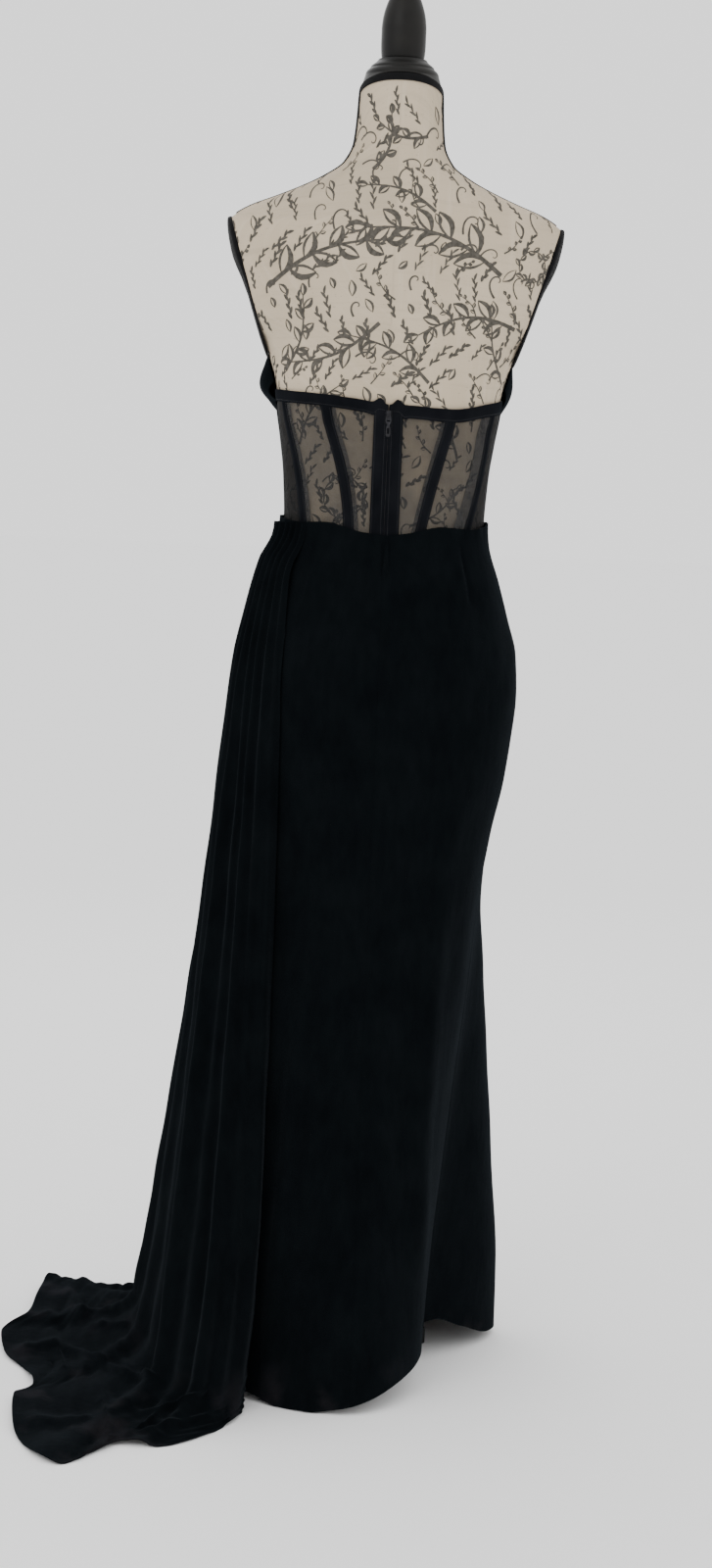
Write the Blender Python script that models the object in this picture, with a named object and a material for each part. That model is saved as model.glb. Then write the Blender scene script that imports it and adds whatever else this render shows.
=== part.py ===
"""Strapless velvet evening gown worn by a limbless dress form on a short stand.

Metres, +Z up. The origin is the middle of the stand's hub where it meets the floor.
The gown's front faces -Y, its back +Y, and the wearer's left is +X.
A plan angle is 0 at centre back, 90 at the wearer's left and 180 at centre front.
"""

import math
from bisect import bisect_right
from collections import namedtuple

import bmesh
import bpy
from mathutils import Matrix, Vector

CM = 0.01
MM = 0.001
SEAM_GAP = 0.3 * MM

# Dress form
ROUNDNESS = 2.2
FORM_BOTTOM = 0.740
FORM_TOP = 1.535
FORM_SEGMENTS = 34
FORM_CLOSE_ROWS = (0.970, 1.230, 0.020)
BUST_HEIGHT = 1.205
BUST_ANGLE = 140.0
BUST_SPREAD_ANGLE = 24.0
BUST_SPREAD_HEIGHT = 0.045
BUST_PROUD = 0.020
PLATE_FOOT = (0.150, 1.240)
PLATE_SLOPE = 0.3077
PLATE_LOWEST = 1.205
PLATE_CENTRE_HEIGHT = 1.303
PLATE_HALF_HEIGHT = 0.086
PLATE_HALF_WIDTH = 0.052
PLATE_LOW_SHARE = 0.42
PLATE_THIN_BELOW, PLATE_FULL_ABOVE = -0.10, 0.55
NECK_TAPE_HEIGHT = 0.007
TAPE_THICKNESS = 1.2 * MM
SHOULDER_TAPE_WIDTH = 0.016
SHOULDER_TAPE_END = 1.380
SHOULDER_TAPE_TURN = (1.425, 1.455)
NECK_SLANT = 20.0
CAP_FOOT_RADIUS = 0.0485
CAP_FOOT_RISE = 0.003

# Stand
POLE_RADIUS = 0.0125
HUB_HEIGHT = 0.110
LEG_WIDTH = 0.020
LEG_EDGE = 2.0 * MM
LEG_CLEAR = 0.6 * MM
LEG_ANGLES = (-12.0, 108.0, -132.0)

# Bodice, as layers proud of the form
MESH_PROUD = 1.7 * MM
MESH_THICKNESS = 1.0 * MM
TRIM_PROUD = 3.5 * MM
TRIM_THICKNESS = 1.4 * MM
BAND_THICKNESS = 2.8 * MM
BODICE_ROWS = 9
BAND_SEAM = 0.7 * MM
BODICE_BOTTOM = 1.012
BONE_WIDTH = 0.012
SIDE_BONE_ANGLE = 97.0
BONE_TOP = 1.170
ZIP_BAND_WIDTH = 0.017
CUP_PROUD = 3.2 * MM
CUP_THICKNESS = 2.0 * MM
RIGHT_CUP_FULLNESS = 0.45
CUP_SEAM = 1.0 * MM
CUP_EDGE_ANGLE = 86.0
CUP_END_ANGLE = 179.85
BAND_START_ANGLE = 0.2
BAND_SAMPLES = 19
CUP_SAMPLES = 17
CUP_ROWS = 7
PANEL_SAMPLES = 6
SLIVER = 1e-6

# Zip slider and pull tab
SLIDER_WIDTH = 5.4 * MM
SLIDER_HEIGHT = 11.0 * MM
SLIDER_THICKNESS = 2.0 * MM
SLIDER_MIDDLE = 1.1570
BRIDGE_INNER = 1.05 * MM
BRIDGE_OUTER = 1.90 * MM
BRIDGE_WIDTH = 1.6 * MM
PIVOT_RISE = 1.05 * MM
TAB_THICKNESS = 1.0 * MM
BRIDGE_SWEEP = 250.0

# Velvet
VELVET_THICKNESS = 1.8 * MM
DRAPE_CLEAR = 3.6 * MM
DRAPE_SEAT = VELVET_THICKNESS + 0.4 * MM
DRAPE_SEAT_HEIGHTS = (0.985, 1.015)
DRAPE_PLEAT_SKEW = 1.9
SKIRT_TURNS = 58
SKIRT_WAIST = 1.03
SKIRT_SHARES = (0.0, 0.06, 0.14, 0.24, 0.34, 0.46, 0.57, 0.67, 0.76, 0.83, 0.89, 0.94, 0.97, 1.0)
DRAPE_HEIGHTS = (0.05, 0.085, 0.144, 0.247, 0.35, 0.474, 0.587, 0.69, 0.783, 0.855, 0.917, 0.968, 1.0, 1.028)
RIGHT_SEAM = -86.0
LEFT_SEAM = 95.0
VALLEY_ANGLE = -84.0
VALLEY_TO_BACK = 84.0
VALLEY_TO_FRONT = 44.0
VALLEY_FLATNESS = 0.7
CORNER_ANGLE = -130.0
CORNER_SPREAD = 16.0
TRAIN_ROWS = 7
FLOOR_CLEAR = 0.5 * MM
TRAIN_REST = 2.3 * MM
TURN_OUT = 0.020
PLEAT_SAMPLES = (0.0, 0.38, 0.66, 0.87)


class Table:
    """Rows of named sizes in centimetres, read between rows on a curve with no overshoot."""

    def __init__(self, columns, rows, scale=CM):
        self.keys = [row[0] * scale for row in rows]
        self.curves = {}
        for place, name in enumerate(columns[1:], 1):
            values = [row[place] for row in rows]
            self.curves[name] = (values, self.slopes(values))

    def slopes(self, values):
        steps = [b - a for a, b in zip(self.keys, self.keys[1:])]
        rises = [(b - a) / s for a, b, s in zip(values, values[1:], steps)]
        inner = [2 * p * q / (p + q) if p * q > 0 else 0.0 for p, q in zip(rises, rises[1:])]
        return [rises[0]] + inner + [rises[-1]]

    def at(self, name, key):
        values, slopes = self.curves[name]
        key = min(max(key, self.keys[0]), self.keys[-1])
        i = min(bisect_right(self.keys, key), len(self.keys) - 1) - 1
        step = self.keys[i + 1] - self.keys[i]
        t = (key - self.keys[i]) / step
        return (values[i] * (1 + 2 * t) * (1 - t) ** 2 + values[i + 1] * t * t * (3 - 2 * t)
                + step * t * (1 - t) * (slopes[i] * (1 - t) - slopes[i + 1] * t))


# The form's plan sizes by height, in centimetres
FORM = Table(("height", "half", "front", "back", "tilt"), (
    (74.0, 12.6, 8.6, 9.4, 0.0),
    (74.6, 14.1, 9.8, 10.8, 0.0),
    (76.5, 14.8, 10.3, 11.4, 0.0),
    (80.0, 15.3, 10.5, 11.7, 0.0),
    (85.0, 15.5, 10.3, 11.4, 0.0),
    (90.0, 14.8, 9.8, 10.5, 0.0),
    (95.0, 13.4, 9.2, 9.3, 0.0),
    (99.0, 12.3, 8.7, 8.4, 0.0),
    (103.0, 11.8, 8.5, 7.9, 0.0),
    (106.0, 11.9, 8.6, 7.8, 0.0),
    (110.0, 12.2, 9.1, 7.9, 0.0),
    (115.0, 12.8, 9.8, 8.2, 0.0),
    (118.0, 13.1, 10.2, 8.5, 0.0),
    (121.0, 13.7, 10.3, 8.9, 0.0),
    (124.0, 15.1, 10.2, 9.3, 0.0),
    (127.0, 18.0, 9.8, 9.6, 0.0),
    (131.0, 19.8, 9.0, 9.8, 0.0),
    (135.0, 20.6, 7.9, 9.4, 0.0),
    (137.5, 20.2, 7.2, 8.8, 0.0),
    (138.8, 18.9, 6.7, 8.3, 0.0),
    (139.8, 17.2, 6.4, 7.9, 0.0),
    (141.0, 14.2, 6.1, 7.3, 0.0),
    (142.2, 11.4, 5.8, 6.8, 0.0),
    (143.6, 8.6, 5.5, 6.2, 0.0),
    (145.2, 6.4, 5.2, 5.6, 0.0),
    (147.5, 5.3, 5.0, 5.1, 4.0),
    (150.5, 5.0, 4.9, 4.9, 12.0),
    (153.5, 4.85, 4.8, 4.8, 20.0),
))

# The skirt's plan sizes by height, in centimetres; valley is the share of the radius it takes
SKIRT = Table(("height", "left", "right", "back", "front", "power", "valley", "corner"), (
    (0.0, 19.8, 18.0, 21.2, 21.5, 2.00, 0.57, 4.2),
    (10.0, 19.3, 17.8, 19.3, 20.4, 2.00, 0.50, 4.2),
    (20.0, 18.7, 17.3, 17.3, 18.8, 2.00, 0.43, 3.7),
    (34.0, 17.9, 16.3, 14.9, 16.5, 2.00, 0.32, 3.3),
    (48.0, 17.0, 15.0, 13.3, 14.5, 2.02, 0.17, 2.6),
    (58.0, 16.7, 14.1, 12.7, 13.3, 2.04, 0.06, 1.4),
    (66.0, 16.6, 14.7, 12.5, 12.5, 2.06, 0.02, 0.4),
    (73.0, 16.6, 15.8, 12.7, 12.0, 2.10, 0.0, 0.0),
    (78.0, 16.5, 16.4, 12.8, 11.7, 2.15, 0.0, 0.0),
    (83.0, 16.3, 16.8, 12.7, 11.5, 2.20, 0.0, 0.0),
    (88.0, 15.9, 16.5, 12.2, 11.2, 2.20, 0.0, 0.0),
    (92.0, 15.2, 15.4, 11.3, 10.6, 2.20, 0.0, 0.0),
    (96.5, 14.0, 14.1, 10.2, 9.9, 2.20, 0.0, 0.0),
    (101.0, 12.7, 12.7, 9.0, 9.4, 2.20, 0.0, 0.0),
    (104.0, 12.4, 12.4, 8.6, 9.2, 2.20, 0.0, 0.0),
))

# Height of the skirt's hem and of its top edge round the body, in centimetres
HEM = Table(("angle", "height"), (
    (-180.0, 0.10), (-150.0, 0.15), (-130.0, 0.7), (-119.0, 1.2), (-109.0, 3.2), (-98.0, 5.0), (-60.0, 4.2),
    (-40.0, 4.0), (-28.0, 3.4), (-18.0, 2.7), (-8.0, 1.7), (2.0, 0.8), (14.0, 0.10), (24.0, 0.15),
    (36.0, 0.9), (60.0, 0.9), (110.0, 0.30), (180.0, 0.10),
), 1.0)
SKIRT_TOP = Table(("angle", "height"), (
    (-180.0, 103.0), (-95.0, 103.7), (-62.0, 102.8), (-42.0, 103.0), (-20.0, 102.2), (-6.0, 101.9),
    (0.0, 101.8), (6.0, 101.9), (20.0, 102.2), (42.0, 103.1), (60.0, 103.0), (95.0, 103.6), (180.0, 103.0),
), 1.0)

# Plan points of the side drape by height, in centimetres
DRAPE = Table(("height", "edge_x", "edge_y", "back_x", "back_y", "side_x", "side_y", "front_x", "front_y"), (
    (5.0, 12.0, 17.6, 21.0, 20.5, 26.4, -5.8, 22.2, -16.0),
    (12.0, 11.4, 15.6, 20.4, 16.8, 25.2, -6.2, 20.8, -17.2),
    (24.0, 11.0, 13.2, 19.8, 12.2, 23.8, -6.0, 19.0, -16.4),
    (39.0, 11.0, 11.4, 19.1, 9.2, 21.9, -5.2, 17.0, -14.6),
    (53.0, 11.0, 10.5, 18.4, 7.4, 20.3, -4.5, 15.7, -13.0),
    (68.0, 11.1, 10.2, 17.6, 6.2, 18.6, -3.9, 14.4, -11.5),
    (77.5, 11.2, 10.2, 17.0, 5.8, 17.6, -3.6, 13.7, -10.8),
    (87.0, 11.2, 9.6, 16.2, 5.0, 16.7, -3.3, 12.9, -9.8),
    (92.0, 11.1, 8.8, 15.3, 4.2, 15.7, -3.1, 12.1, -9.0),
    (96.5, 10.9, 7.9, 14.3, 3.6, 14.7, -2.9, 11.3, -8.2),
    (101.0, 9.6, 6.9, 13.0, 3.2, 13.3, -2.7, 10.1, -7.3),
    (104.0, 9.0, 6.5, 12.2, 3.0, 12.5, -2.6, 9.4, -6.9),
))

# Edge of the train on the floor, in centimetres, by the share of the drape's width
TRAIN = Table(("share", "x", "y", "lift"), (
    (0.00, 12.3, 21.4, 0.0),
    (0.07, 14.8, 27.8, 0.0),
    (0.16, 21.6, 34.0, 0.0),
    (0.23, 25.4, 33.8, 0.5),
    (0.32, 31.6, 40.6, 0.0),
    (0.42, 37.6, 31.2, 0.3),
    (0.48, 39.0, 20.6, 0.8),
    (0.52, 37.2, 16.6, 0.4),
    (0.57, 39.2, 9.8, 0.2),
    (0.61, 42.2, 4.2, 0.3),
    (0.66, 43.6, -3.4, 0.7),
    (0.73, 41.0, -9.0, 1.0),
    (0.86, 40.8, -25.0, 0.8),
    (0.90, 40.0, -27.0, 0.6),
    (0.95, 33.6, -20.6, 0.3),
    (1.00, 27.0, -14.6, 0.2),
), 1.0)

# Knife pleats of the drape: share of its width at the waist and on the floor, depth in millimetres
Pleat = namedtuple("Pleat", "waist_share floor_share waist_depth floor_depth")
PLEATS = [Pleat(*row) for row in (
    (0.000, 0.000, 2.0, 6.0),
    (0.050, 0.070, 4.2, 4.0),
    (0.105, 0.150, 5.0, 13.0),
    (0.165, 0.230, 4.4, 3.0),
    (0.235, 0.310, 5.2, 15.0),
    (0.310, 0.400, 4.6, 5.0),
    (0.400, 0.490, 4.0, 13.0),
    (0.500, 0.580, 4.4, 3.0),
    (0.600, 0.670, 3.8, 12.0),
    (0.705, 0.760, 4.2, 4.0),
    (0.810, 0.850, 3.8, 10.0),
    (0.910, 0.930, 3.0, 5.0),
    (1.000, 1.000, 0.0, 0.0),
)]

# Lines that part the bodice's panels: centimetres from the centre line at the top and bottom
# and how far each bows out on the left and the right
Line = namedtuple("Line", "name facing top bottom bow_left bow_right")
LINES = (
    Line("centre_back", "back", 0.0, 0.0, 0.0, 0.0),
    Line("back", "back", 7.4, 4.0, -0.6, -0.15),
    Line("side_back", "back", 12.25, 9.3, -0.4, 0.3),
    Line("side", "side", 0.0, 0.0, 0.0, 0.0),
    Line("front", "front", 8.6, 6.2, -0.3, -0.3),
    Line("centre_front", "front", 0.0, 0.0, 0.0, 0.0),
)
BOW_TOP = 0.85
PANELS = ("back", "side_back", "side", "side_front", "front")

# Heights of the top band's edges round the back, and of the cups' edges, in centimetres
BAND = Table(("angle", "low", "top"), (
    (-90.0, 117.20, 118.3), (-68.0, 116.50, 117.6), (-47.0, 115.70, 116.75), (-20.0, 115.95, 116.95),
    (-13.0, 116.00, 117.0), (-6.6, 116.10, 117.6), (-2.0, 116.20, 117.05), (0.0, 116.25, 117.0),
    (2.0, 116.25, 117.05), (6.6, 116.30, 117.7), (13.0, 116.35, 117.25), (20.0, 116.50, 117.42),
    (47.0, 117.05, 117.95), (68.0, 117.35, 118.25), (90.0, 117.65, 118.6),
), 1.0)
CUP = Table(("angle", "low", "high", "bulge"), (
    (84.0, 117.3, 118.9, 0.5),
    (92.0, 117.0, 120.9, 1.5),
    (102.0, 116.2, 122.6, 1.6),
    (118.0, 114.2, 124.0, 0.9),
    (140.0, 112.6, 124.6, 0.7),
    (160.0, 113.2, 123.0, 0.4),
    (180.0, 115.4, 118.8, 0.1),
), 1.0)

# Section of a domed arm plate, as millimetres proud of the form and share of the plate's outline
PLATE_PROFILE = ((0.3, 1.0), (4.5, 1.0), (7.6, 0.90), (10.0, 0.72), (11.4, 0.48), (12.0, 0.20))

# Turned profiles, as height and radius in centimetres
CAP_PROFILE = ((155.40, 4.30), (155.8, 4.15), (156.3, 3.80), (156.8, 3.35), (157.3, 3.10))
FINIAL_PROFILE = (
    (157.33, 2.50), (157.9, 2.58), (159.2, 2.64), (160.8, 2.64), (161.9, 2.55), (162.7, 2.40),
    (163.4, 2.20), (164.1, 1.95), (164.9, 1.58), (165.7, 1.08), (166.3, 0.55),
)
HUB_PROFILE = ((0.0, 3.0), (0.5, 3.15), (8.6, 3.15), (9.6, 2.7), (11.0, 2.0))

# A leg seen from the side, as reach from the hub's face and height in centimetres
LEG_PROFILE = ((0.0, 2.6), (0.0, 7.8), (2.8, 6.6), (5.8, 3.6), (8.8, 2.0), (8.8, 0.0), (6.8, 0.0), (4.4, 1.4))

# Half of the pull tab's outline from its pivot down, in millimetres
TAB_OUTLINE = (
    (2.30, 0.55), (3.00, -2.0), (3.40, -5.0), (3.20, -7.6), (2.20, -9.8), (1.40, -11.4), (2.10, -13.0),
    (2.60, -16.0), (2.80, -22.6), (1.93, -24.4), (0.0, -25.0),
)
TAB_WINDOWS = ((2.8, 0.55, 3.2), (3.8, 3.2, 7.4), (2.6, 14.6, 21.4))

MATERIALS = {
    "velvet": ((0.010, 0.011, 0.014), 0.85, 0.0),
    "mesh": ((0.060, 0.057, 0.054), 0.80, 0.0),
    "trim": ((0.013, 0.013, 0.015), 0.75, 0.0),
    "linen": ((0.610, 0.530, 0.430), 0.90, 0.0),
    "black_tape": ((0.012, 0.012, 0.013), 0.70, 0.0),
    "black_wood": ((0.014, 0.013, 0.013), 0.30, 0.0),
    "pole": ((0.030, 0.030, 0.032), 0.35, 0.9),
    "zip_metal": ((0.030, 0.030, 0.034), 0.30, 0.9),
}


def clear_scene():
    for thing in list(bpy.data.objects):
        bpy.data.objects.remove(thing, do_unlink=True)


def material(name):
    found = bpy.data.materials.get(name)
    if found:
        return found
    colour, roughness, metallic = MATERIALS[name]
    made = bpy.data.materials.new(name)
    made.use_nodes = True
    shader = made.node_tree.nodes["Principled BSDF"]
    shader.inputs["Base Color"].default_value = (*colour, 1.0)
    shader.inputs["Roughness"].default_value = roughness
    shader.inputs["Metallic"].default_value = metallic
    made.diffuse_color = (*colour, 1.0)
    return made


def add_object(name, mesh, finish, parent=None):
    thing = bpy.data.objects.new(name, mesh)
    bpy.context.scene.collection.objects.link(thing)
    mesh.materials.append(material(finish))
    mesh.shade_smooth()
    mesh.set_sharp_from_angle(angle=math.radians(50))
    if parent:
        thing.parent = parent
    return thing


def mesh_of(name, points, faces):
    mesh = bpy.data.meshes.new(name)
    mesh.from_pydata([tuple(p) for p in points], [], faces)
    mesh.validate()
    return mesh


def grid_faces(across, up, wrap=False):
    """Quads of a grid of points that is stored row by row from the bottom."""
    faces = []
    for j in range(up - 1):
        for i in range(across if wrap else across - 1):
            k = (i + 1) % across
            faces.append((j * across + i, j * across + k, (j + 1) * across + k, (j + 1) * across + i))
    return faces


def cloth(name, rows, finish, thickness):
    """A cloth wall: rows of points on its outer face, made solid towards the body."""
    across = len(rows[0])
    points = [p for row in rows for p in row]
    thing = add_object(name, mesh_of(name, points, grid_faces(across, len(rows))), finish)
    wall = thing.modifiers.new("Wall", "SOLIDIFY")
    wall.thickness = thickness
    wall.offset = -1.0
    wall.use_even_offset = True
    wall.use_quality_normals = True
    return thing


def ring(radius, height, segments):
    turns = [2 * math.pi * i / segments for i in range(segments)]
    return [Vector((radius * math.cos(turn), radius * math.sin(turn), height)) for turn in turns]


def grid_normals(rows):
    """Outward directions at a grid's points; its rows run up and each row runs anticlockwise."""
    normals = []
    for j, row in enumerate(rows):
        below, above = rows[max(j - 1, 0)], rows[min(j + 1, len(rows) - 1)]
        ways = []
        for i in range(len(row)):
            along = row[min(i + 1, len(row) - 1)] - row[max(i - 1, 0)]
            ways.append(along.cross(above[i] - below[i]).normalized())
        normals.append(ways)
    return normals


def draped_cloth(name, rows, normals, finish, thickness):
    """A cloth wall with given outward directions, whose inner face stays above the floor."""
    across, up = len(rows[0]), len(rows)
    inner = []
    for row, ways in zip(rows, normals):
        for point, way in zip(row, ways):
            under = point - way * thickness
            under.z = max(under.z, FLOOR_CLEAR)
            point.z = max(point.z, under.z + thickness * 0.8)
            inner.append(under)
    points = [p for row in rows for p in row] + inner
    faces = grid_faces(across, up)
    half = across * up
    faces += [tuple(half + corner for corner in reversed(face)) for face in faces]
    rim = list(range(across)) + [j * across + across - 1 for j in range(1, up)]
    rim += [(up - 1) * across + i for i in range(across - 2, -1, -1)] + [j * across for j in range(up - 2, 0, -1)]
    for a, b in zip(rim, rim[1:] + rim[:1]):
        faces.append((b, a, half + a, half + b))
    return add_object(name, mesh_of(name, points, faces), finish)


def closed_tube(name, rows, finish):
    """A solid through closed rings, bottom to top and anticlockwise from above, with flat ends."""
    across = len(rows[0])
    points = [p for row in rows for p in row]
    faces = grid_faces(across, len(rows), wrap=True)
    faces.append(tuple(reversed(range(across))))
    faces.append(tuple(range(len(points) - across, len(points))))
    return add_object(name, mesh_of(name, points, faces), finish)


def turned(name, profile, finish, segments=28):
    """A solid of revolution; the profile's rows are height and radius in centimetres."""
    closed_tube(name, [ring(radius * CM, height * CM, segments) for height, radius in profile], finish)


def box(name, low, high, finish, parent=None):
    mesh = bpy.data.meshes.new(name)
    shape = bmesh.new()
    bmesh.ops.create_cube(shape, size=1.0)
    middle = [(a + b) / 2 for a, b in zip(low, high)]
    spans = [b - a for a, b in zip(low, high)]
    bmesh.ops.transform(shape, matrix=Matrix.Translation(middle) @ Matrix.Diagonal((*spans, 1.0)),
                        verts=shape.verts)
    shape.to_mesh(mesh)
    shape.free()
    return add_object(name, mesh, finish, parent)


def combine(target, other, operation):
    """Apply a boolean and drop the second shape."""
    cut = target.modifiers.new("Combine", "BOOLEAN")
    cut.operation = operation
    cut.solver = "EXACT"
    cut.object = other
    evaluated = target.evaluated_get(bpy.context.evaluated_depsgraph_get())
    mesh = bpy.data.meshes.new_from_object(evaluated)
    target.modifiers.remove(cut)
    target.data = mesh
    bpy.data.objects.remove(other, do_unlink=True)


def wrapped(angle):
    return (angle + 180.0) % 360.0 - 180.0


def blend(a, b, t):
    return a + (b - a) * t


def spaced(a, b, count):
    return [blend(a, b, i / (count - 1)) for i in range(count)]


def plan(angle):
    turn = math.radians(angle)
    return Vector((math.sin(turn), math.cos(turn), 0.0))


def oval(angle, half, depth, power):
    """Radius of a rounded oval at a plan angle."""
    way = plan(angle)
    return (abs(way.x / half) ** power + abs(way.y / depth) ** power) ** (-1.0 / power)


def bell(distance, spread):
    return math.exp(-0.5 * (distance / spread) ** 2)


# Dress form

def form_skin(angle, height):
    facing = "back" if math.cos(math.radians(angle)) >= 0 else "front"
    radius = CM * oval(angle, FORM.at("half", height), FORM.at(facing, height), ROUNDNESS)
    bust = (bell(abs(wrapped(angle)) - BUST_ANGLE, BUST_SPREAD_ANGLE)
            * bell(height - BUST_HEIGHT, BUST_SPREAD_HEIGHT))
    point = plan(angle) * (radius + BUST_PROUD * bust)
    side = PLATE_FOOT[0] + PLATE_SLOPE * (height - PLATE_FOOT[1])
    if height > PLATE_LOWEST:
        point.x = min(max(point.x, -side), side)
    point.z = height + math.tan(math.radians(FORM.at("tilt", height))) * point.y
    return point


def on_form(angle, height, proud=0.0):
    """A point moved out from the form's skin along the skin's normal."""
    step = 0.4
    rise = 0.002
    along = form_skin(angle + step, height) - form_skin(angle - step, height)
    up = form_skin(angle, height + rise) - form_skin(angle, height - rise)
    normal = up.cross(along).normalized()
    return form_skin(angle, height) + normal * proud


def form_angle(x, height, facing):
    """Plan angle of the skin's point that lies x from the centre line."""
    half = FORM.at("half", height) * CM
    depth = FORM.at(facing, height) * CM
    y = depth * max(1 - (abs(x) / half) ** ROUNDNESS, 0.0) ** (1 / ROUNDNESS)
    angle = math.degrees(math.atan2(abs(x), y if facing == "back" else -y))
    return math.copysign(angle, x)


def build_form_body():
    low, high, step = FORM_CLOSE_ROWS
    close = {low + step * i for i in range(round((high - low) / step) + 1)}
    heights = sorted({key for key in FORM.keys if not low < key < high} | close)
    rows = []
    for height in heights:
        rows.append([form_skin(360.0 * i / FORM_SEGMENTS, height) for i in range(FORM_SEGMENTS)])
    closed_tube("form_torso", [list(reversed(row)) for row in rows], "linen")


def build_arm_plates():
    lean = math.atan(PLATE_SLOPE)
    up = Vector((math.sin(lean), 0.0, math.cos(lean)))
    out = Vector((math.cos(lean), 0.0, -math.sin(lean)))
    foot = Vector((PLATE_FOOT[0] + PLATE_SLOPE * (PLATE_CENTRE_HEIGHT - PLATE_FOOT[1]), 0.0, PLATE_CENTRE_HEIGHT))
    steps = 28
    for side, name in ((1, "left"), (-1, "right")):
        rows = []
        for proud, shrink in PLATE_PROFILE:
            row = []
            for i in range(steps):
                turn = 2 * math.pi * i / steps
                rise = (shrink * math.sin(turn) - PLATE_THIN_BELOW) / (PLATE_FULL_ABOVE - PLATE_THIN_BELOW)
                rise = min(max(rise, 0.0), 1.0)
                share = blend(PLATE_LOW_SHARE, 1.0, rise * rise * (3 - 2 * rise))
                lift = SEAM_GAP + (proud * MM - SEAM_GAP) * share
                point = (foot + out * lift + up * (PLATE_HALF_HEIGHT * shrink * math.sin(turn))
                         + Vector((0.0, PLATE_HALF_WIDTH * shrink * math.cos(turn), 0.0)))
                row.append(Vector((point.x * side, point.y, point.z)))
            rows.append(row if side > 0 else list(reversed(row)))
        closed_tube(f"form_arm_plate_{name}", rows, "black_tape")


def build_form_tapes():
    """Tape round the top of the neck and along each shoulder."""
    low = FORM_TOP - NECK_TAPE_HEIGHT
    rows = []
    steps = 32
    inner, outer = SEAM_GAP, SEAM_GAP + TAPE_THICKNESS
    for height, proud in ((low, inner), (low, outer), (FORM_TOP, outer), (FORM_TOP, inner)):
        rows.append([on_form(-360.0 * i / steps, height, proud) for i in range(steps)])
    points = [p for row in rows for p in row]
    faces = grid_faces(steps, len(rows), wrap=True)
    last = (len(rows) - 1) * steps
    for i in range(steps):
        k = (i + 1) % steps
        faces.append((last + i, last + k, k, i))
    add_object("form_neck_tape", mesh_of("form_neck_tape", points, faces), "black_tape")
    heights = [key for key in FORM.keys if SHOULDER_TAPE_END < key < low] + [low - 2 * SEAM_GAP]
    for side, name in ((1, "left"), (-1, "right")):
        rows = []
        for height in heights:
            near = form_skin(90.0, height)
            half_turn = math.degrees(0.5 * SHOULDER_TAPE_WIDTH / near.x)
            low_turn, high_turn = SHOULDER_TAPE_TURN
            risen = min(max((height - low_turn) / (high_turn - low_turn), 0.0), 1.0)
            middle = 90.0 + half_turn * blend(0.7, -0.6, risen)
            turns = [middle + half_turn * t for t in (1.0, 0.33, -0.33, -1.0)]
            rows.append([on_form(side * turn, height, 2 * SEAM_GAP + TAPE_THICKNESS)
                         for turn in (turns if side > 0 else reversed(turns))])
        cloth(f"form_shoulder_tape_{name}", rows, "black_tape", TAPE_THICKNESS)


def build_cap_and_finial():
    """The cap sits on the slanted top of the neck and turns level above it."""
    segments = 32
    rows = []
    for rise, radius in ((SEAM_GAP, CAP_FOOT_RADIUS), (CAP_FOOT_RISE, CAP_FOOT_RADIUS - MM)):
        slanted = ring(radius, FORM_TOP + rise, segments)
        for spot in slanted:
            spot.z += math.tan(math.radians(NECK_SLANT)) * spot.y
        rows.append(slanted)
    rows += [ring(radius * CM, height * CM, segments) for height, radius in CAP_PROFILE]
    closed_tube("form_cap", rows, "black_wood")
    turned("form_finial", FINIAL_PROFILE, "black_wood")


def build_stand():
    turned("stand_hub", HUB_PROFILE, "black_wood", 32)
    pole = ((HUB_HEIGHT + SEAM_GAP) / CM, POLE_RADIUS / CM), ((FORM_BOTTOM - SEAM_GAP) / CM, POLE_RADIUS / CM)
    turned("stand_pole", pole, "pole", 24)
    start = HUB_PROFILE[1][1] * CM + LEG_CLEAR
    side_view = [(start + reach * CM, height * CM) for reach, height in LEG_PROFILE]
    for number, angle in enumerate(LEG_ANGLES, 1):
        way = plan(angle)
        across = Vector((way.y, -way.x, 0.0)) * (LEG_WIDTH / 2)
        points = []
        for hand in (1, -1):
            points += [way * reach + across * hand + Vector((0.0, 0.0, height)) for reach, height in side_view]
        count = len(side_view)
        faces = [tuple(reversed(range(count))), tuple(range(count, 2 * count))]
        for i in range(count):
            k = (i + 1) % count
            faces.append((i, k, count + k, count + i))
        leg = add_object(f"stand_leg_{number}", mesh_of("leg", points, faces), "black_wood")
        edge = leg.modifiers.new("Edge", "BEVEL")
        edge.width = LEG_EDGE
        edge.segments = 1
        edge.limit_method = "ANGLE"


# Bodice

def bodice_top(angle):
    """Upper edge of the mesh: under the band behind, under the cups in front."""
    if abs(angle) < CUP_EDGE_ANGLE:
        return BAND.at("low", angle) * CM - BAND_SEAM
    return CUP.at("low", abs(angle)) * CM - CUP_SEAM


def line_angle(line, share, side):
    """Plan angle of a line between panels; share runs from 0 at the waist to 1 at its top."""
    if line.facing == "side":
        return side * SIDE_BONE_ANGLE
    height = blend(BODICE_BOTTOM, BONE_TOP, share)
    bow = line.bow_left if side > 0 else line.bow_right
    reach = blend(line.bottom, line.top, share) + bow * math.sin(math.pi * min(share / BOW_TOP, 1.0))
    return form_angle(side * reach * CM, height, line.facing)


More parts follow.
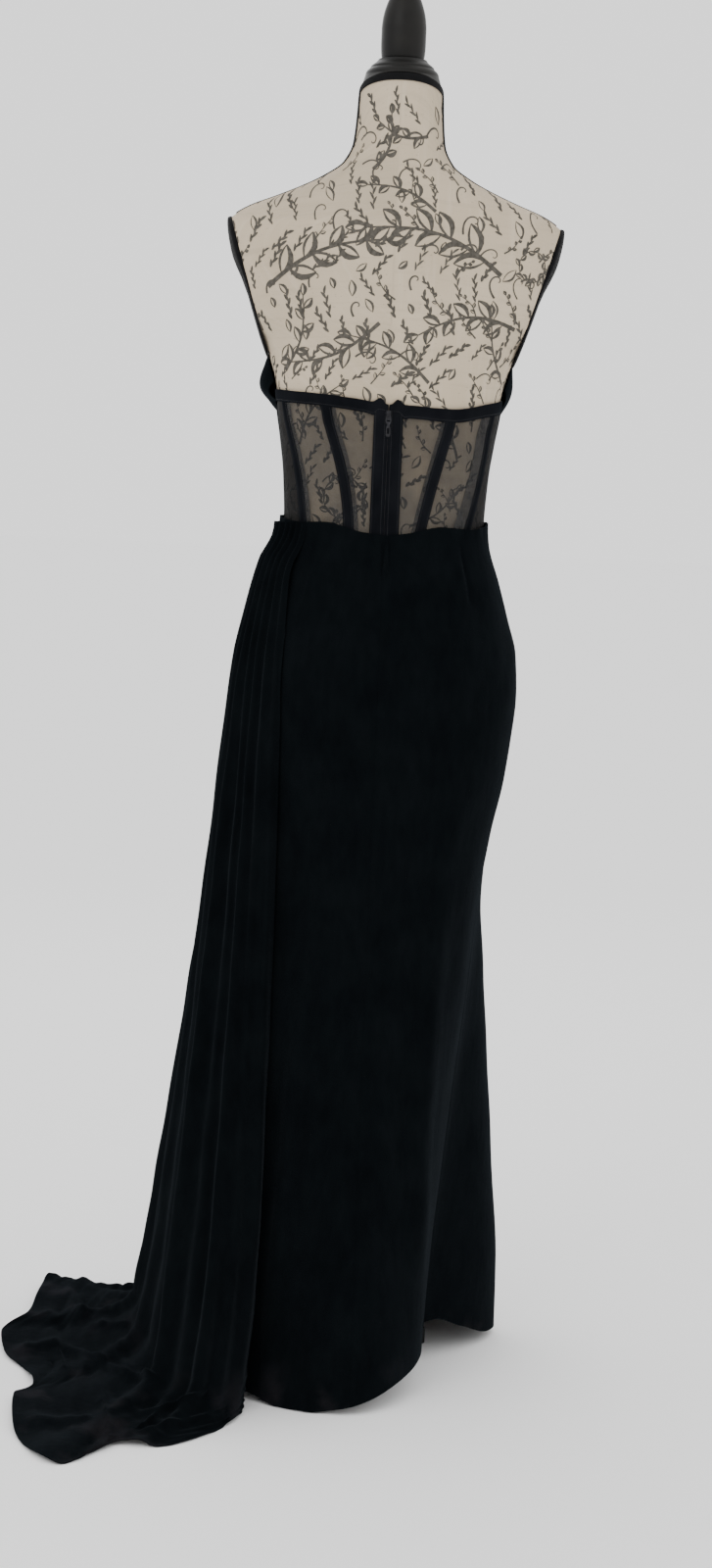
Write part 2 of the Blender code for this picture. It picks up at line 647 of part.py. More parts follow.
def strip(start, end, proud, across, inset):
    """Points of a bodice piece between two lines of plan angles, kept clear of them by inset metres."""
    grid = []
    for j in range(BODICE_ROWS):
        share = j / (BODICE_ROWS - 1)
        first, last = start(share), end(share)
        height = blend(BODICE_BOTTOM, BONE_TOP, share)
        turn = 1 if last > first else -1
        first += turn * math.degrees(inset[0] / (form_skin(first, height).xy.length))
        last -= turn * math.degrees(inset[1] / (form_skin(last, height).xy.length))
        row = []
        for angle in spaced(first, last, across):
            row.append(on_form(angle, blend(BODICE_BOTTOM, bodice_top(wrapped(angle)), share), proud))
        grid.append(row if turn < 0 else list(reversed(row)))
    return grid


def build_bone(name, middle):
    """A casing along a line of plan angles."""
    half = -BONE_WIDTH / 2
    grid = strip(middle, lambda share: middle(share) + SLIVER, TRIM_PROUD, 3, (half, half))
    cloth(name, grid, "trim", TRIM_THICKNESS)


def build_bodice():
    for side, hand in ((1, "left"), (-1, "right")):
        for panel, first, last in zip(PANELS, LINES, LINES[1:]):
            grid = strip(lambda share: line_angle(first, share, side), lambda share: line_angle(last, share, side),
                         MESH_PROUD, PANEL_SAMPLES, (SEAM_GAP / 2, SEAM_GAP / 2))
            cloth(f"mesh_{panel}_{hand}", grid, "mesh", MESH_THICKNESS)
        for line in LINES[1:-1]:
            build_bone(f"bone_{line.name}_{hand}", lambda share: line_angle(line, share, side))
        grid = strip(lambda share: 0.0, lambda share: zip_band_angle(share, side), TRIM_PROUD, 4,
                     (SEAM_GAP / 2, 0.0))
        cloth(f"zip_band_{hand}", grid, "trim", TRIM_THICKNESS)
        build_top_band(side, hand)
        build_cup(side, hand)
    build_bone("bone_centre_front", lambda share: 180.0)


def zip_band_angle(share, side):
    return form_angle(side * ZIP_BAND_WIDTH, blend(BODICE_BOTTOM, BONE_TOP, share), "back")


def build_top_band(side, hand):
    last = CUP_EDGE_ANGLE - 1.0
    angles = [side * blend(BAND_START_ANGLE, last, t ** 1.6) for t in spaced(0.0, 1.0, BAND_SAMPLES)]
    if side > 0:
        angles.reverse()
    rows = []
    for share in (0.0, 0.5, 1.0):
        row = []
        for angle in angles:
            height = blend(BAND.at("low", angle), BAND.at("top", angle), share) * CM
            row.append(on_form(angle, height, TRIM_PROUD))
        rows.append(row)
    cloth(f"top_band_{hand}", rows, "trim", BAND_THICKNESS)


def build_cup(side, hand):
    angles = [side * turn for turn in spaced(CUP_EDGE_ANGLE, CUP_END_ANGLE, CUP_SAMPLES)]
    if side > 0:
        angles.reverse()
    rows = []
    for share in spaced(0.0, 1.0, CUP_ROWS):
        row = []
        for angle in angles:
            low = CUP.at("low", abs(angle)) * CM
            high = CUP.at("high", abs(angle)) * CM
            fullness = 1.0 if side > 0 or abs(angle) > 120 else RIGHT_CUP_FULLNESS
            proud = CUP_PROUD + fullness * CUP.at("bulge", abs(angle)) * CM * math.sin(math.pi * share) ** 0.8
            row.append(on_form(angle, blend(low, high, share), proud))
        rows.append(row)
    cloth(f"cup_{hand}", rows, "velvet", CUP_THICKNESS)


# Zip slider and pull tab

def build_zip_pull():
    low = on_form(0.0, SLIDER_MIDDLE - SLIDER_HEIGHT / 2, TRIM_PROUD + SEAM_GAP)
    high = on_form(0.0, SLIDER_MIDDLE + SLIDER_HEIGHT / 2, TRIM_PROUD + SEAM_GAP)
    seat = max(low.y, high.y) + 0.1 * MM
    front = seat + SLIDER_THICKNESS
    slider = box("zip_slider", (-SLIDER_WIDTH / 2, seat, SLIDER_MIDDLE - SLIDER_HEIGHT / 2),
                 (SLIDER_WIDTH / 2, front, SLIDER_MIDDLE + SLIDER_HEIGHT / 2), "zip_metal")
    pivot = Vector((0.0, front + PIVOT_RISE, SLIDER_MIDDLE))
    steps = 14
    sweep = math.radians(BRIDGE_SWEEP)
    rows = []
    for i in range(steps + 1):
        turn = -sweep / 2 + sweep * i / steps
        way = Vector((0.0, math.cos(turn), math.sin(turn)))
        row = []
        for x, radius in ((-1, BRIDGE_INNER), (1, BRIDGE_INNER), (1, BRIDGE_OUTER), (-1, BRIDGE_OUTER)):
            row.append(pivot + way * radius + Vector((x * BRIDGE_WIDTH / 2, 0.0, 0.0)))
        rows.append(row)
    bridge = closed_tube("bridge", rows, "zip_metal")
    combine(slider, bridge, "UNION")

    hinge = bpy.data.objects.new("zip_pull_hinge", None)
    bpy.context.scene.collection.objects.link(hinge)
    hinge.location = pivot
    half = [(x * MM, z * MM) for x, z in TAB_OUTLINE]
    outline = half + [(-x, z) for x, z in reversed(half[:-1])]
    points = []
    for y in (-TAB_THICKNESS / 2, TAB_THICKNESS / 2):
        points += [Vector((x, y, z)) for x, z in outline]
    count = len(outline)
    faces = [tuple(range(count)), tuple(reversed(range(count, 2 * count)))]
    for i in range(count):
        k = (i + 1) % count
        faces.append((k, i, count + i, count + k))
    pull = add_object("zip_pull", mesh_of("zip_pull", points, faces), "zip_metal", hinge)
    for width, top, low in TAB_WINDOWS:
        reach = width * MM / 2
        window = box("window", (-reach, -2 * TAB_THICKNESS, -low * MM), (reach, 2 * TAB_THICKNESS, -top * MM),
                     "zip_metal", hinge)
        bpy.context.view_layer.update()
        combine(pull, window, "DIFFERENCE")


# Skirt and drape

def skirt_radius(angle, height):
    """Radius of the skirt's outer face, with the deep fold at its right side."""
    side = "left" if angle >= 0 else "right"
    facing = "back" if math.cos(math.radians(angle)) >= 0 else "front"
    radius = oval(angle, SKIRT.at(side, height), SKIRT.at(facing, height), SKIRT.at("power", height))
    away = angle - VALLEY_ANGLE
    reach = away / (VALLEY_TO_BACK if away > 0 else VALLEY_TO_FRONT)
    if abs(reach) < 1:
        depth = (0.5 + 0.5 * math.cos(math.pi * reach)) ** VALLEY_FLATNESS
        radius *= 1 - SKIRT.at("valley", height) * depth
    radius += SKIRT.at("corner", height) * bell(angle - CORNER_ANGLE, CORNER_SPREAD)
    return radius * CM


def skirt_point(angle, height):
    return plan(angle) * skirt_radius(angle, height) + Vector((0.0, 0.0, height))


def skirt_normal(angle, height):
    step = 1.5
    rise = 0.01
    along = skirt_point(angle + step, height) - skirt_point(angle - step, height)
    up = skirt_point(angle, height + rise) - skirt_point(angle, height - rise)
    return up.cross(along).normalized()


def build_skirt():
    step = 360.0 / SKIRT_TURNS
    panels = (("skirt_back_left", 0.0, LEFT_SEAM), ("skirt_back_right", RIGHT_SEAM, 0.0),
              ("skirt_front", LEFT_SEAM - 360.0, RIGHT_SEAM))
    for name, first, last in panels:
        count = round((last - first) / step) + 1
        rows, normals = [], []
        for share in SKIRT_SHARES:
            row, ways = [], []
            for angle in reversed(spaced(first, last, count)):
                trim = math.degrees(SEAM_GAP / 2 / skirt_radius(wrapped(angle), share * SKIRT_WAIST))
                turn = wrapped(min(max(angle, first + trim), last - trim))
                height = blend(HEM.at("height", turn), SKIRT_TOP.at("height", turn), share) * CM
                row.append(skirt_point(turn, height))
                ways.append(skirt_normal(turn, height))
            rows.append(row)
            normals.append(ways)
        draped_cloth(name, rows, normals, "velvet", VELVET_THICKNESS)


def drape_base(share, height):
    """The drape without its pleats, held clear of the skirt under it."""
    corners = []
    for name in ("edge", "back", "side", "front"):
        corners.append(Vector((DRAPE.at(name + "_x", height), DRAPE.at(name + "_y", height), 0.0)) * CM)
    a, b, c, d = corners
    s = share
    point = (a * ((1 - s) * (2 - 3 * s) * (1 - 3 * s) / 2) + b * (9 * s * (1 - s) * (2 - 3 * s) / 2)
             + c * (9 * s * (1 - s) * (3 * s - 1) / 2) + d * (s * (3 * s - 1) * (3 * s - 2) / 2))
    angle = math.degrees(math.atan2(point.x, point.y))
    skirt = skirt_radius(angle, height)
    low, high = DRAPE_SEAT_HEIGHTS
    seated = min(max((height - low) / (high - low), 0.0), 1.0)
    reach = blend(max(point.length, skirt + DRAPE_CLEAR), skirt + DRAPE_SEAT, seated)
    return point.normalized() * reach + Vector((0.0, 0.0, height))


def train_base(share, run):
    """The drape's foot from just above the floor, run 0, out to the edge of the train, run 1."""
    lowest = DRAPE.keys[0]
    start = drape_base(share, lowest)
    rim = Vector((TRAIN.at("x", share), TRAIN.at("y", share), 0.0)) * CM
    rim.z = TRAIN_REST + TRAIN.at("lift", share) * CM
    out = Vector((rim.x - start.x, rim.y - start.y, 0.0))
    bend = start + out.normalized() * min(TURN_OUT, out.length * 0.5)
    bend.z = TRAIN_REST
    return start * (1 - run) ** 2 + bend * (2 * run * (1 - run)) + rim * run ** 2


def pleat_wave(share, fall):
    """Height of the pleats over the drape; fall runs from 0 at the waist to 1 on the floor."""
    edges = [blend(pleat.waist_share, pleat.floor_share, fall) for pleat in PLEATS]
    i = min(bisect_right(edges, share), len(edges) - 1) - 1
    t = (share - edges[i]) / (edges[i + 1] - edges[i])
    depth = blend(PLEATS[i].waist_depth, PLEATS[i].floor_depth, fall ** 1.5) * MM
    skew = blend(DRAPE_PLEAT_SKEW, 1.0, fall ** 0.5)
    return depth * math.sin(math.pi * min(max(t, 0.0), 1.0) ** skew) ** 2


def drape_shares(fall):
    shares = []
    edges = [blend(pleat.waist_share, pleat.floor_share, fall) for pleat in PLEATS]
    for start, end in zip(edges, edges[1:]):
        shares += [blend(start, end, t) for t in PLEAT_SAMPLES]
    return shares + [1.0]


def drape_rows():
    """Rows of plain points from the train's edge up to the waist, with their falls and shares."""
    lowest, top = DRAPE_HEIGHTS[0], DRAPE_HEIGHTS[-1]
    falls = [1.0] * TRAIN_ROWS + [1 - (height - lowest) / (top - lowest) for height in DRAPE_HEIGHTS]
    shares = [list(reversed(drape_shares(fall))) for fall in falls]
    rows = []
    for j in range(TRAIN_ROWS):
        rows.append([train_base(share, 1 - j / TRAIN_ROWS) for share in shares[j]])
    for height, row in zip(DRAPE_HEIGHTS, shares[TRAIN_ROWS:]):
        rows.append([drape_base(share, height) for share in row])
    return rows, falls, shares


def build_drape():
    rows, falls, shares = drape_rows()
    lifted = []
    for row, ways, fall, places in zip(rows, grid_normals(rows), falls, shares):
        lifted.append([p + way * pleat_wave(share, fall) for p, way, share in zip(row, ways, places)])
    draped_cloth("side_drape", lifted, grid_normals(lifted), "velvet", VELVET_THICKNESS)


clear_scene()
build_form_body()
build_arm_plates()
build_form_tapes()
build_cap_and_finial()
build_stand()
build_bodice()
build_zip_pull()
build_skirt()
build_drape()
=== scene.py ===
import math

import bpy
import numpy as np
from mathutils import Matrix, Vector


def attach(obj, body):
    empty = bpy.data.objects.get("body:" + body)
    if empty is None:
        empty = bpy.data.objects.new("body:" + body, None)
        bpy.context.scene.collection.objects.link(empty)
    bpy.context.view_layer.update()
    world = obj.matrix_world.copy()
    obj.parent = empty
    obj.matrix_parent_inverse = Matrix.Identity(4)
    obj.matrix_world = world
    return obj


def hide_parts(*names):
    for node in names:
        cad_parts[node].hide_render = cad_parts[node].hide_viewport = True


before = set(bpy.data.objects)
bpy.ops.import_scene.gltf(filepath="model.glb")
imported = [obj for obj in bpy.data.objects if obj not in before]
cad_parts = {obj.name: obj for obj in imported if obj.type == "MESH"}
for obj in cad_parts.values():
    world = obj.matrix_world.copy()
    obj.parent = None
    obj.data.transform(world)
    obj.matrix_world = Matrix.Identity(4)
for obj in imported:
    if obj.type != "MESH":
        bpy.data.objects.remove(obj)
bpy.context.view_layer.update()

BODY = "gown_and_form"
CM = 0.01
MM = 0.001

# The sizes of the form, the bodice, the skirt and the drape, as in the CAD model
ROUNDNESS = 2.2
FORM_TOP = 1.535
BUST_HEIGHT, BUST_ANGLE, BUST_PROUD = 1.205, 140.0, 0.020
BUST_SPREAD_ANGLE, BUST_SPREAD_HEIGHT = 24.0, 0.045
PLATE_FOOT, PLATE_SLOPE, PLATE_LOWEST = (0.150, 1.240), 0.3077, 1.205
PLATE_CENTRE_HEIGHT, PLATE_HALF_HEIGHT, PLATE_HALF_WIDTH = 1.303, 0.086, 0.052
PLATE_LOW_SHARE, PLATE_THIN_BELOW, PLATE_FULL_ABOVE = 0.42, -0.10, 0.55
NECK_SLANT = 20.0
BODICE_BOTTOM, BONE_TOP = 1.012, 1.170
SIDE_BONE_ANGLE = 97.0
ZIP_BAND_WIDTH = 0.017
CUP_EDGE_ANGLE = 86.0
VELVET_THICKNESS = 1.6 * MM
DRAPE_CLEAR, DRAPE_SEAT, DRAPE_SEAT_HEIGHTS = 3.6 * MM, 2.2 * MM, (0.985, 1.015)
RIGHT_SEAM, LEFT_SEAM, SEAM_LAP = -86.0, 95.0, 0.03
VALLEY_ANGLE, VALLEY_TO_BACK, VALLEY_TO_FRONT, VALLEY_FLATNESS = -84.0, 84.0, 44.0, 0.7
CORNER_ANGLE, CORNER_SPREAD = -130.0, 16.0
TRAIN_REST, TURN_OUT, FLOOR_CLEAR = 2.3 * MM, 0.020, 0.5 * MM
DRAPE_FOOT, DRAPE_TOP = 0.05, 1.028

# Sizes of the scene's own: how far each layer stands off the form, its edges and its cloth
MESH_PROUD, ALLOWANCE_PROUD, CASING_PROUD = 1.4 * MM, 1.75 * MM, 2.05 * MM
ZIP_PROUD, BAND_PROUD, CUP_PROUD, PRINT_PROUD = 2.2 * MM, 3.1 * MM, 3.2 * MM, 0.14 * MM
ZIP_GAP, MESH_GAP = 0.04 * MM, 0.15 * MM
TAPE_FOOT, TAPE_HALF_WIDTH = 1.388, 0.008
STITCH_PITCH, STITCH_LENGTH, STITCH_RADIUS = 2.4 * MM, 1.7 * MM, 0.16 * MM
SKIRT_LENGTH, DRAPE_LENGTH, TRAIN_RUN = 1.04, 1.35, 0.30
GIRTH_PER_DEGREE = 0.0027
SHARP_ANGLE = math.radians(50)
NUDGE = 1e-6
HANDS = ((1, "left"), (-1, "right"))


class Table:
    """Rows of named sizes in centimetres, read between rows on a curve with no overshoot."""

    def __init__(self, columns, rows, scale=CM):
        data = np.array(rows, dtype=float)
        self.keys = data[:, 0] * scale
        self.curves = {}
        for place, name in enumerate(columns[1:], 1):
            values = data[:, place]
            rises = np.diff(values) / np.diff(self.keys)
            p, q = rises[:-1], rises[1:]
            inner = np.where(p * q > 0, 2 * p * q / np.where(p * q > 0, p + q, 1.0), 0.0)
            self.curves[name] = (values, np.concatenate([rises[:1], inner, rises[-1:]]))

    def at(self, name, key):
        values, slopes = self.curves[name]
        key = np.clip(key, self.keys[0], self.keys[-1])
        i = np.clip(np.searchsorted(self.keys, key, side="right") - 1, 0, len(self.keys) - 2)
        step = self.keys[i + 1] - self.keys[i]
        t = (key - self.keys[i]) / step
        return (values[i] * (1 + 2 * t) * (1 - t) ** 2 + values[i + 1] * t * t * (3 - 2 * t)
                + step * t * (1 - t) * (slopes[i] * (1 - t) - slopes[i + 1] * t))


FORM = Table(("height", "half", "front", "back", "tilt"), (
    (74, 12.6, 8.6, 9.4, 0), (74.6, 14.1, 9.8, 10.8, 0), (76.5, 14.8, 10.3, 11.4, 0),
    (80, 15.3, 10.5, 11.7, 0), (85, 15.5, 10.3, 11.4, 0), (90, 14.8, 9.8, 10.5, 0),
    (95, 13.4, 9.2, 9.3, 0), (99, 12.3, 8.7, 8.4, 0), (103, 11.8, 8.5, 7.9, 0),
    (106, 11.9, 8.6, 7.8, 0), (110, 12.2, 9.1, 7.9, 0), (115, 12.8, 9.8, 8.2, 0),
    (118, 13.1, 10.2, 8.5, 0), (121, 13.7, 10.3, 8.9, 0), (124, 15.1, 10.2, 9.3, 0),
    (127, 18, 9.8, 9.6, 0), (131, 19.8, 9, 9.8, 0), (135, 20.6, 7.9, 9.4, 0),
    (137.5, 20.2, 7.2, 8.8, 0), (138.8, 18.9, 6.7, 8.3, 0), (139.8, 17.2, 6.4, 7.9, 0),
    (141, 14.2, 6.1, 7.3, 0), (142.2, 11.4, 5.8, 6.8, 0), (143.6, 8.6, 5.5, 6.2, 0),
    (145.2, 6.4, 5.2, 5.6, 0), (147.5, 5.3, 5, 5.1, 4), (150.5, 5, 4.9, 4.9, 12),
    (153.5, 4.85, 4.8, 4.8, 20),
))
SKIRT = Table(("height", "left", "right", "back", "front", "power", "valley", "corner"), (
    (0, 19.8, 18, 21.2, 21.5, 2, 0.57, 4.2), (10, 19.3, 17.8, 19.3, 20.4, 2, 0.5, 4.2),
    (20, 18.7, 17.3, 17.3, 18.8, 2, 0.43, 3.7), (34, 17.9, 16.3, 14.9, 16.5, 2, 0.32, 3.3),
    (48, 17, 15, 13.3, 14.5, 2.02, 0.17, 2.6), (58, 16.7, 14.1, 12.7, 13.3, 2.04, 0.06, 1.4),
    (66, 16.6, 14.7, 12.5, 12.5, 2.06, 0.02, 0.4), (73, 16.6, 15.8, 12.7, 12, 2.1, 0, 0),
    (78, 16.5, 16.4, 12.8, 11.7, 2.15, 0, 0), (83, 16.3, 16.8, 12.7, 11.5, 2.2, 0, 0),
    (88, 15.9, 16.5, 12.2, 11.2, 2.2, 0, 0), (92, 15.2, 15.4, 11.3, 10.6, 2.2, 0, 0),
    (96.5, 14, 14.1, 10.2, 9.9, 2.2, 0, 0), (101, 12.7, 12.7, 9, 9.4, 2.2, 0, 0),
    (104, 12.4, 12.4, 8.6, 9.2, 2.2, 0, 0),
))
HEM = Table(("angle", "height"), (
    (-180, 0.1), (-150, 0.15), (-130, 0.7), (-119, 1.2), (-109, 3.2), (-98, 5), (-60, 4.2),
    (-40, 4), (-28, 3.4), (-18, 2.7), (-8, 1.7), (2, 0.8), (14, 0.1), (24, 0.15), (36, 0.9),
    (60, 0.9), (110, 0.3), (180, 0.1),
), 1.0)
SKIRT_TOP = Table(("angle", "height"), (
    (-180, 103), (-95, 103.7), (-62, 102.8), (-42, 103), (-20, 102.2), (-6, 101.9), (0, 101.8),
    (6, 101.9), (20, 102.2), (42, 103.1), (60, 103), (95, 103.6), (180, 103),
), 1.0)
DRAPE = Table((
    "height", "edge_x", "edge_y", "back_x", "back_y", "side_x", "side_y", "front_x", "front_y"), (
    (5, 12, 17.6, 21, 20.5, 26.4, -5.8, 22.2, -16),
    (12, 11.4, 15.6, 20.4, 16.8, 25.2, -6.2, 20.8, -17.2),
    (24, 11, 13.2, 19.8, 12.2, 23.8, -6, 19, -16.4),
    (39, 11, 11.4, 19.1, 9.2, 21.9, -5.2, 17, -14.6),
    (53, 11, 10.5, 18.4, 7.4, 20.3, -4.5, 15.7, -13),
    (68, 11.1, 10.2, 17.6, 6.2, 18.6, -3.9, 14.4, -11.5),
    (77.5, 11.2, 10.2, 17, 5.8, 17.6, -3.6, 13.7, -10.8),
    (87, 11.2, 9.6, 16.2, 5, 16.7, -3.3, 12.9, -9.8),
    (92, 11.1, 8.8, 15.3, 4.2, 15.7, -3.1, 12.1, -9),
    (96.5, 10.9, 7.9, 14.3, 3.6, 14.7, -2.9, 11.3, -8.2),
    (101, 9.6, 6.9, 13, 3.2, 13.3, -2.7, 10.1, -7.3),
    (104, 9, 6.5, 12.2, 3, 12.5, -2.6, 9.4, -6.9),
))
TRAIN = Table(("share", "x", "y", "lift"), (
    (0, 12.3, 21.4, 0), (0.07, 14.8, 27.8, 0), (0.16, 21.6, 34, 0), (0.23, 25.4, 33.8, 0.5),
    (0.32, 31.6, 40.6, 0), (0.42, 37.6, 31.2, 0.3), (0.48, 39, 20.6, 0.8), (0.52, 37.2, 16.6, 0.4),
    (0.57, 39.2, 9.8, 0.2), (0.61, 42.2, 4.2, 0.3), (0.66, 43.6, -3.4, 0.7), (0.73, 41, -9, 1),
    (0.86, 40.8, -25, 0.8), (0.9, 40, -27, 0.6), (0.95, 33.6, -20.6, 0.3), (1, 27, -14.6, 0.2),
), 1.0)
PLEATS = np.array((
    (0, 0, 2, 6), (0.05, 0.07, 4.2, 4), (0.105, 0.15, 5, 13), (0.165, 0.23, 4.4, 3),
    (0.235, 0.31, 5.2, 15), (0.31, 0.4, 4.6, 5), (0.4, 0.49, 4, 13), (0.5, 0.58, 4.4, 3),
    (0.6, 0.67, 3.8, 12), (0.705, 0.76, 4.2, 4), (0.81, 0.85, 3.8, 10), (0.91, 0.93, 3, 5),
    (1, 1, 0, 0),
))
LINES = {
    "back": ("back", 7.4, 4, -0.6, -0.15),
    "side_back": ("back", 12.25, 9.3, -0.4, 0.3),
    "side": ("side", 0, 0, 0, 0),
    "front": ("front", 8.6, 6.2, -0.3, -0.3),
}
BOW_TOP = 0.85
BAND = Table(("angle", "low", "top"), (
    (-90, 117.2, 118.3), (-68, 116.5, 117.6), (-47, 115.7, 116.75), (-20, 115.95, 116.95),
    (-13, 116, 117), (-6.6, 116.1, 117.6), (-2, 116.2, 117.05), (0, 116.25, 117),
    (2, 116.25, 117.05), (6.6, 116.3, 117.7), (13, 116.35, 117.25), (20, 116.5, 117.42),
    (47, 117.05, 117.95), (68, 117.35, 118.25), (90, 117.65, 118.6),
), 1.0)
CUP = Table(("angle", "low", "high", "bulge"), (
    (84, 117.3, 118.9, 0.5), (92, 117, 120.9, 1.5), (102, 116.2, 122.6, 1.6),
    (118, 114.2, 124, 0.9), (140, 112.6, 124.6, 0.7), (160, 113.2, 123, 0.4),
    (180, 115.4, 118.8, 0.1),
), 1.0)

# Creases of the skirt: three points down its line as plan angle and height, then depth and
# half width in millimetres; a negative depth is a trough
SKIRT_CREASES = (
    (-54, 101.6, -53.6, 98, -53, 93.6, -1.8, 2.6), (-50, 101, -49.6, 97, -49, 93, 1.2, 4),
    (45, 97.5, 45, 95.5, 45, 93, 1.4, 2.6), (24, 100, 24, 95, 24.5, 89, -1.2, 6),
    (-14, 100.5, -18, 97, -26, 94.5, 1.6, 6), (12, 100.5, 17, 96.5, 27, 93, 1.5, 7),
    (-50, 78, -40, 52, -34, 6, 5, 18), (-22, 70, -20, 44, -24, -2, -4, 20),
    (12, 74, 10, 40, 8, -2, 3.6, 22), (40, 60, 38, 34, 36, -2, -5, 14),
    (34, 52, 32.5, 26, 27.5, -1, 4.5, 7), (17, 8, 12, 4, 6, 0.5, 5, 10),
    (2, 7, 6, 3.5, 12, 0, -4, 9), (-75, 95, -68, 86, -50, 80, -1.4, 10),
    (-110, 84, -112, 50, -116, -2, 5, 20), (-150, 88, -148, 50, -146, -2, -4.5, 22),
    (-176, 80, -172, 46, -168, -2, 4.5, 24), (160, 86, 158, 52, 152, -2, -4.5, 22),
    (132, 80, 133, 44, 130, -2, 4, 20),
)
# Puckers where the zip ends
SKIRT_PUCKERS = (
    (-2.6, 102.6, -2.4, 100, -1.6, 96.5, 3.2, 1.9),
    (2.8, 102.4, 2.2, 100.6, 1.5, 98.4, 2.2, 1.7),
    (-5.6, 102.4, -5.6, 101, -5, 99, 1.5, 2),
)
# Creases of the drape and train: three points as hundredths across and of the run, which goes
# from 0 at the train's edge to 100 at the waist; depth and half width as above
DRAPE_CREASES = (
    (3, 96, 5, 66, 2, 36, 3, 9), (20, 92, 24, 62, 22, 30, -4, 10),
    (36, 90, 36, 60, 33, 26, 4, 12), (55, 88, 56, 58, 52, 28, -4, 12),
    (74, 90, 74, 60, 72, 26, 3.6, 12), (8, 20, 17, 12, 24, 2, 5, 8),
    (13, 30, 20, 22, 27, 16, 6, 4), (27, 17, 25, 8, 22.5, 0, 5, 4),
    (16, 24, 27, 17, 46, 12, 4, 7), (65.6, 4.5, 50, 14.7, 30, 26.5, 6, 4.5),
    (30, 25, 42, 21, 60, 15, 3, 7), (65.6, 12.5, 63.8, 17.5, 60, 24, 4, 4),
    (85, 3.5, 76.3, 7.5, 66.3, 13, 7, 5), (80, 2, 72, 6, 64, 9, -5, 6),
    (62, 20, 70, 12, 76, 2, 4, 8), (78, 20, 84, 12, 86, 1, 4, 7),
    (60.6, 0, 61.3, 4, 61.3, 8, 6, 4), (61.3, 7.5, 56.9, 6, 53, 5, 6, 4),
    (53, 0, 55, 3, 58, 5, -4, 5), (44.4, 0, 40, 5, 37.5, 9, 7, 5),
    (42, 10.5, 37, 11, 26, 3.5, 5, 4), (36.3, 9, 33.1, 15, 30, 21, -4, 5),
    (29, 0, 32, 4, 34, 9, -5, 5), (82, 10, 88, 6, 94, 6, 5, 6),
)


def wrapped(angle):
    return (angle + 180.0) % 360.0 - 180.0


def blend(a, b, t):
    return a + (b - a) * t


def smooth(t):
    t = np.clip(t, 0.0, 1.0)
    return t * t * (3 - 2 * t)


def shares(count):
    return np.linspace(0, 1, count)


def stack(*parts):
    return np.stack(parts, axis=-1)


def bell(distance, spread):
    return np.exp(-0.5 * (distance / spread) ** 2)


def unit(vectors):
    return vectors / np.maximum(np.linalg.norm(vectors, axis=-1, keepdims=True), 1e-12)


def plan(angle):
    turn = np.radians(angle)
    return stack(np.sin(turn), np.cos(turn), np.zeros_like(turn))


def oval(angle, half, depth, power):
    turn = np.radians(angle)
    total = np.abs(np.sin(turn) / half) ** power + np.abs(np.cos(turn) / depth) ** power
    return total ** (-1.0 / power)


def ripple(u, v, seed):
    """Slow uneven waves, from -1 to 1, over two lengths in metres."""
    rng = np.random.default_rng(seed)
    total = np.zeros(np.broadcast(u, v).shape)
    for _ in range(6):
        turn, wave = rng.uniform(0, math.pi), rng.uniform(0.05, 0.16)
        phase = rng.uniform(0, 2 * math.pi)
        total += np.sin((u * math.cos(turn) + v * math.sin(turn)) * 2 * math.pi / wave + phase)
    return total / 6


# Form

def form_skin(angle, height):
    angle, height = np.broadcast_arrays(np.asarray(angle, float), np.asarray(height, float))
    behind = np.cos(np.radians(angle)) >= 0
    depth = np.where(behind, FORM.at("back", height), FORM.at("front", height))
    radius = CM * oval(angle, FORM.at("half", height), depth, ROUNDNESS)
    bust = bell(np.abs(wrapped(angle)) - BUST_ANGLE, BUST_SPREAD_ANGLE)
    bust = bust * bell(height - BUST_HEIGHT, BUST_SPREAD_HEIGHT)
    point = plan(angle) * (radius + BUST_PROUD * bust)[..., None]
    side = PLATE_FOOT[0] + PLATE_SLOPE * (height - PLATE_FOOT[1])
    side = np.where(height > PLATE_LOWEST, side, 1.0)
    point[..., 0] = np.clip(point[..., 0], -side, side)
    point[..., 2] = height + np.tan(np.radians(FORM.at("tilt", height))) * point[..., 1]
    return point


def on_form(angle, height, proud=0.0):
    along = form_skin(angle + 0.4, height) - form_skin(angle - 0.4, height)
    up = form_skin(angle, height + 0.002) - form_skin(angle, height - 0.002)
    return form_skin(angle, height) + unit(np.cross(up, along)) * np.asarray(proud)[..., None]


def form_angle(x, height, facing):
    half, depth = FORM.at("half", height) * CM, FORM.at(facing, height) * CM
    y = depth * np.maximum(1 - (np.abs(x) / half) ** ROUNDNESS, 0.0) ** (1 / ROUNDNESS)
    return np.copysign(np.degrees(np.arctan2(np.abs(x), y if facing == "back" else -y)), x)


# Building surfaces

def ways_out(points):
    """Outward directions of a grid whose rows run up and anticlockwise."""
    return unit(np.cross(np.gradient(points, axis=1), np.gradient(points, axis=0)))


def lengths(points, axis):
    steps = np.linalg.norm(np.diff(points, axis=axis), axis=-1)
    zero = np.zeros_like(np.take(steps, [0], axis=axis))
    return np.concatenate([zero, np.cumsum(steps, axis=axis)], axis=axis)


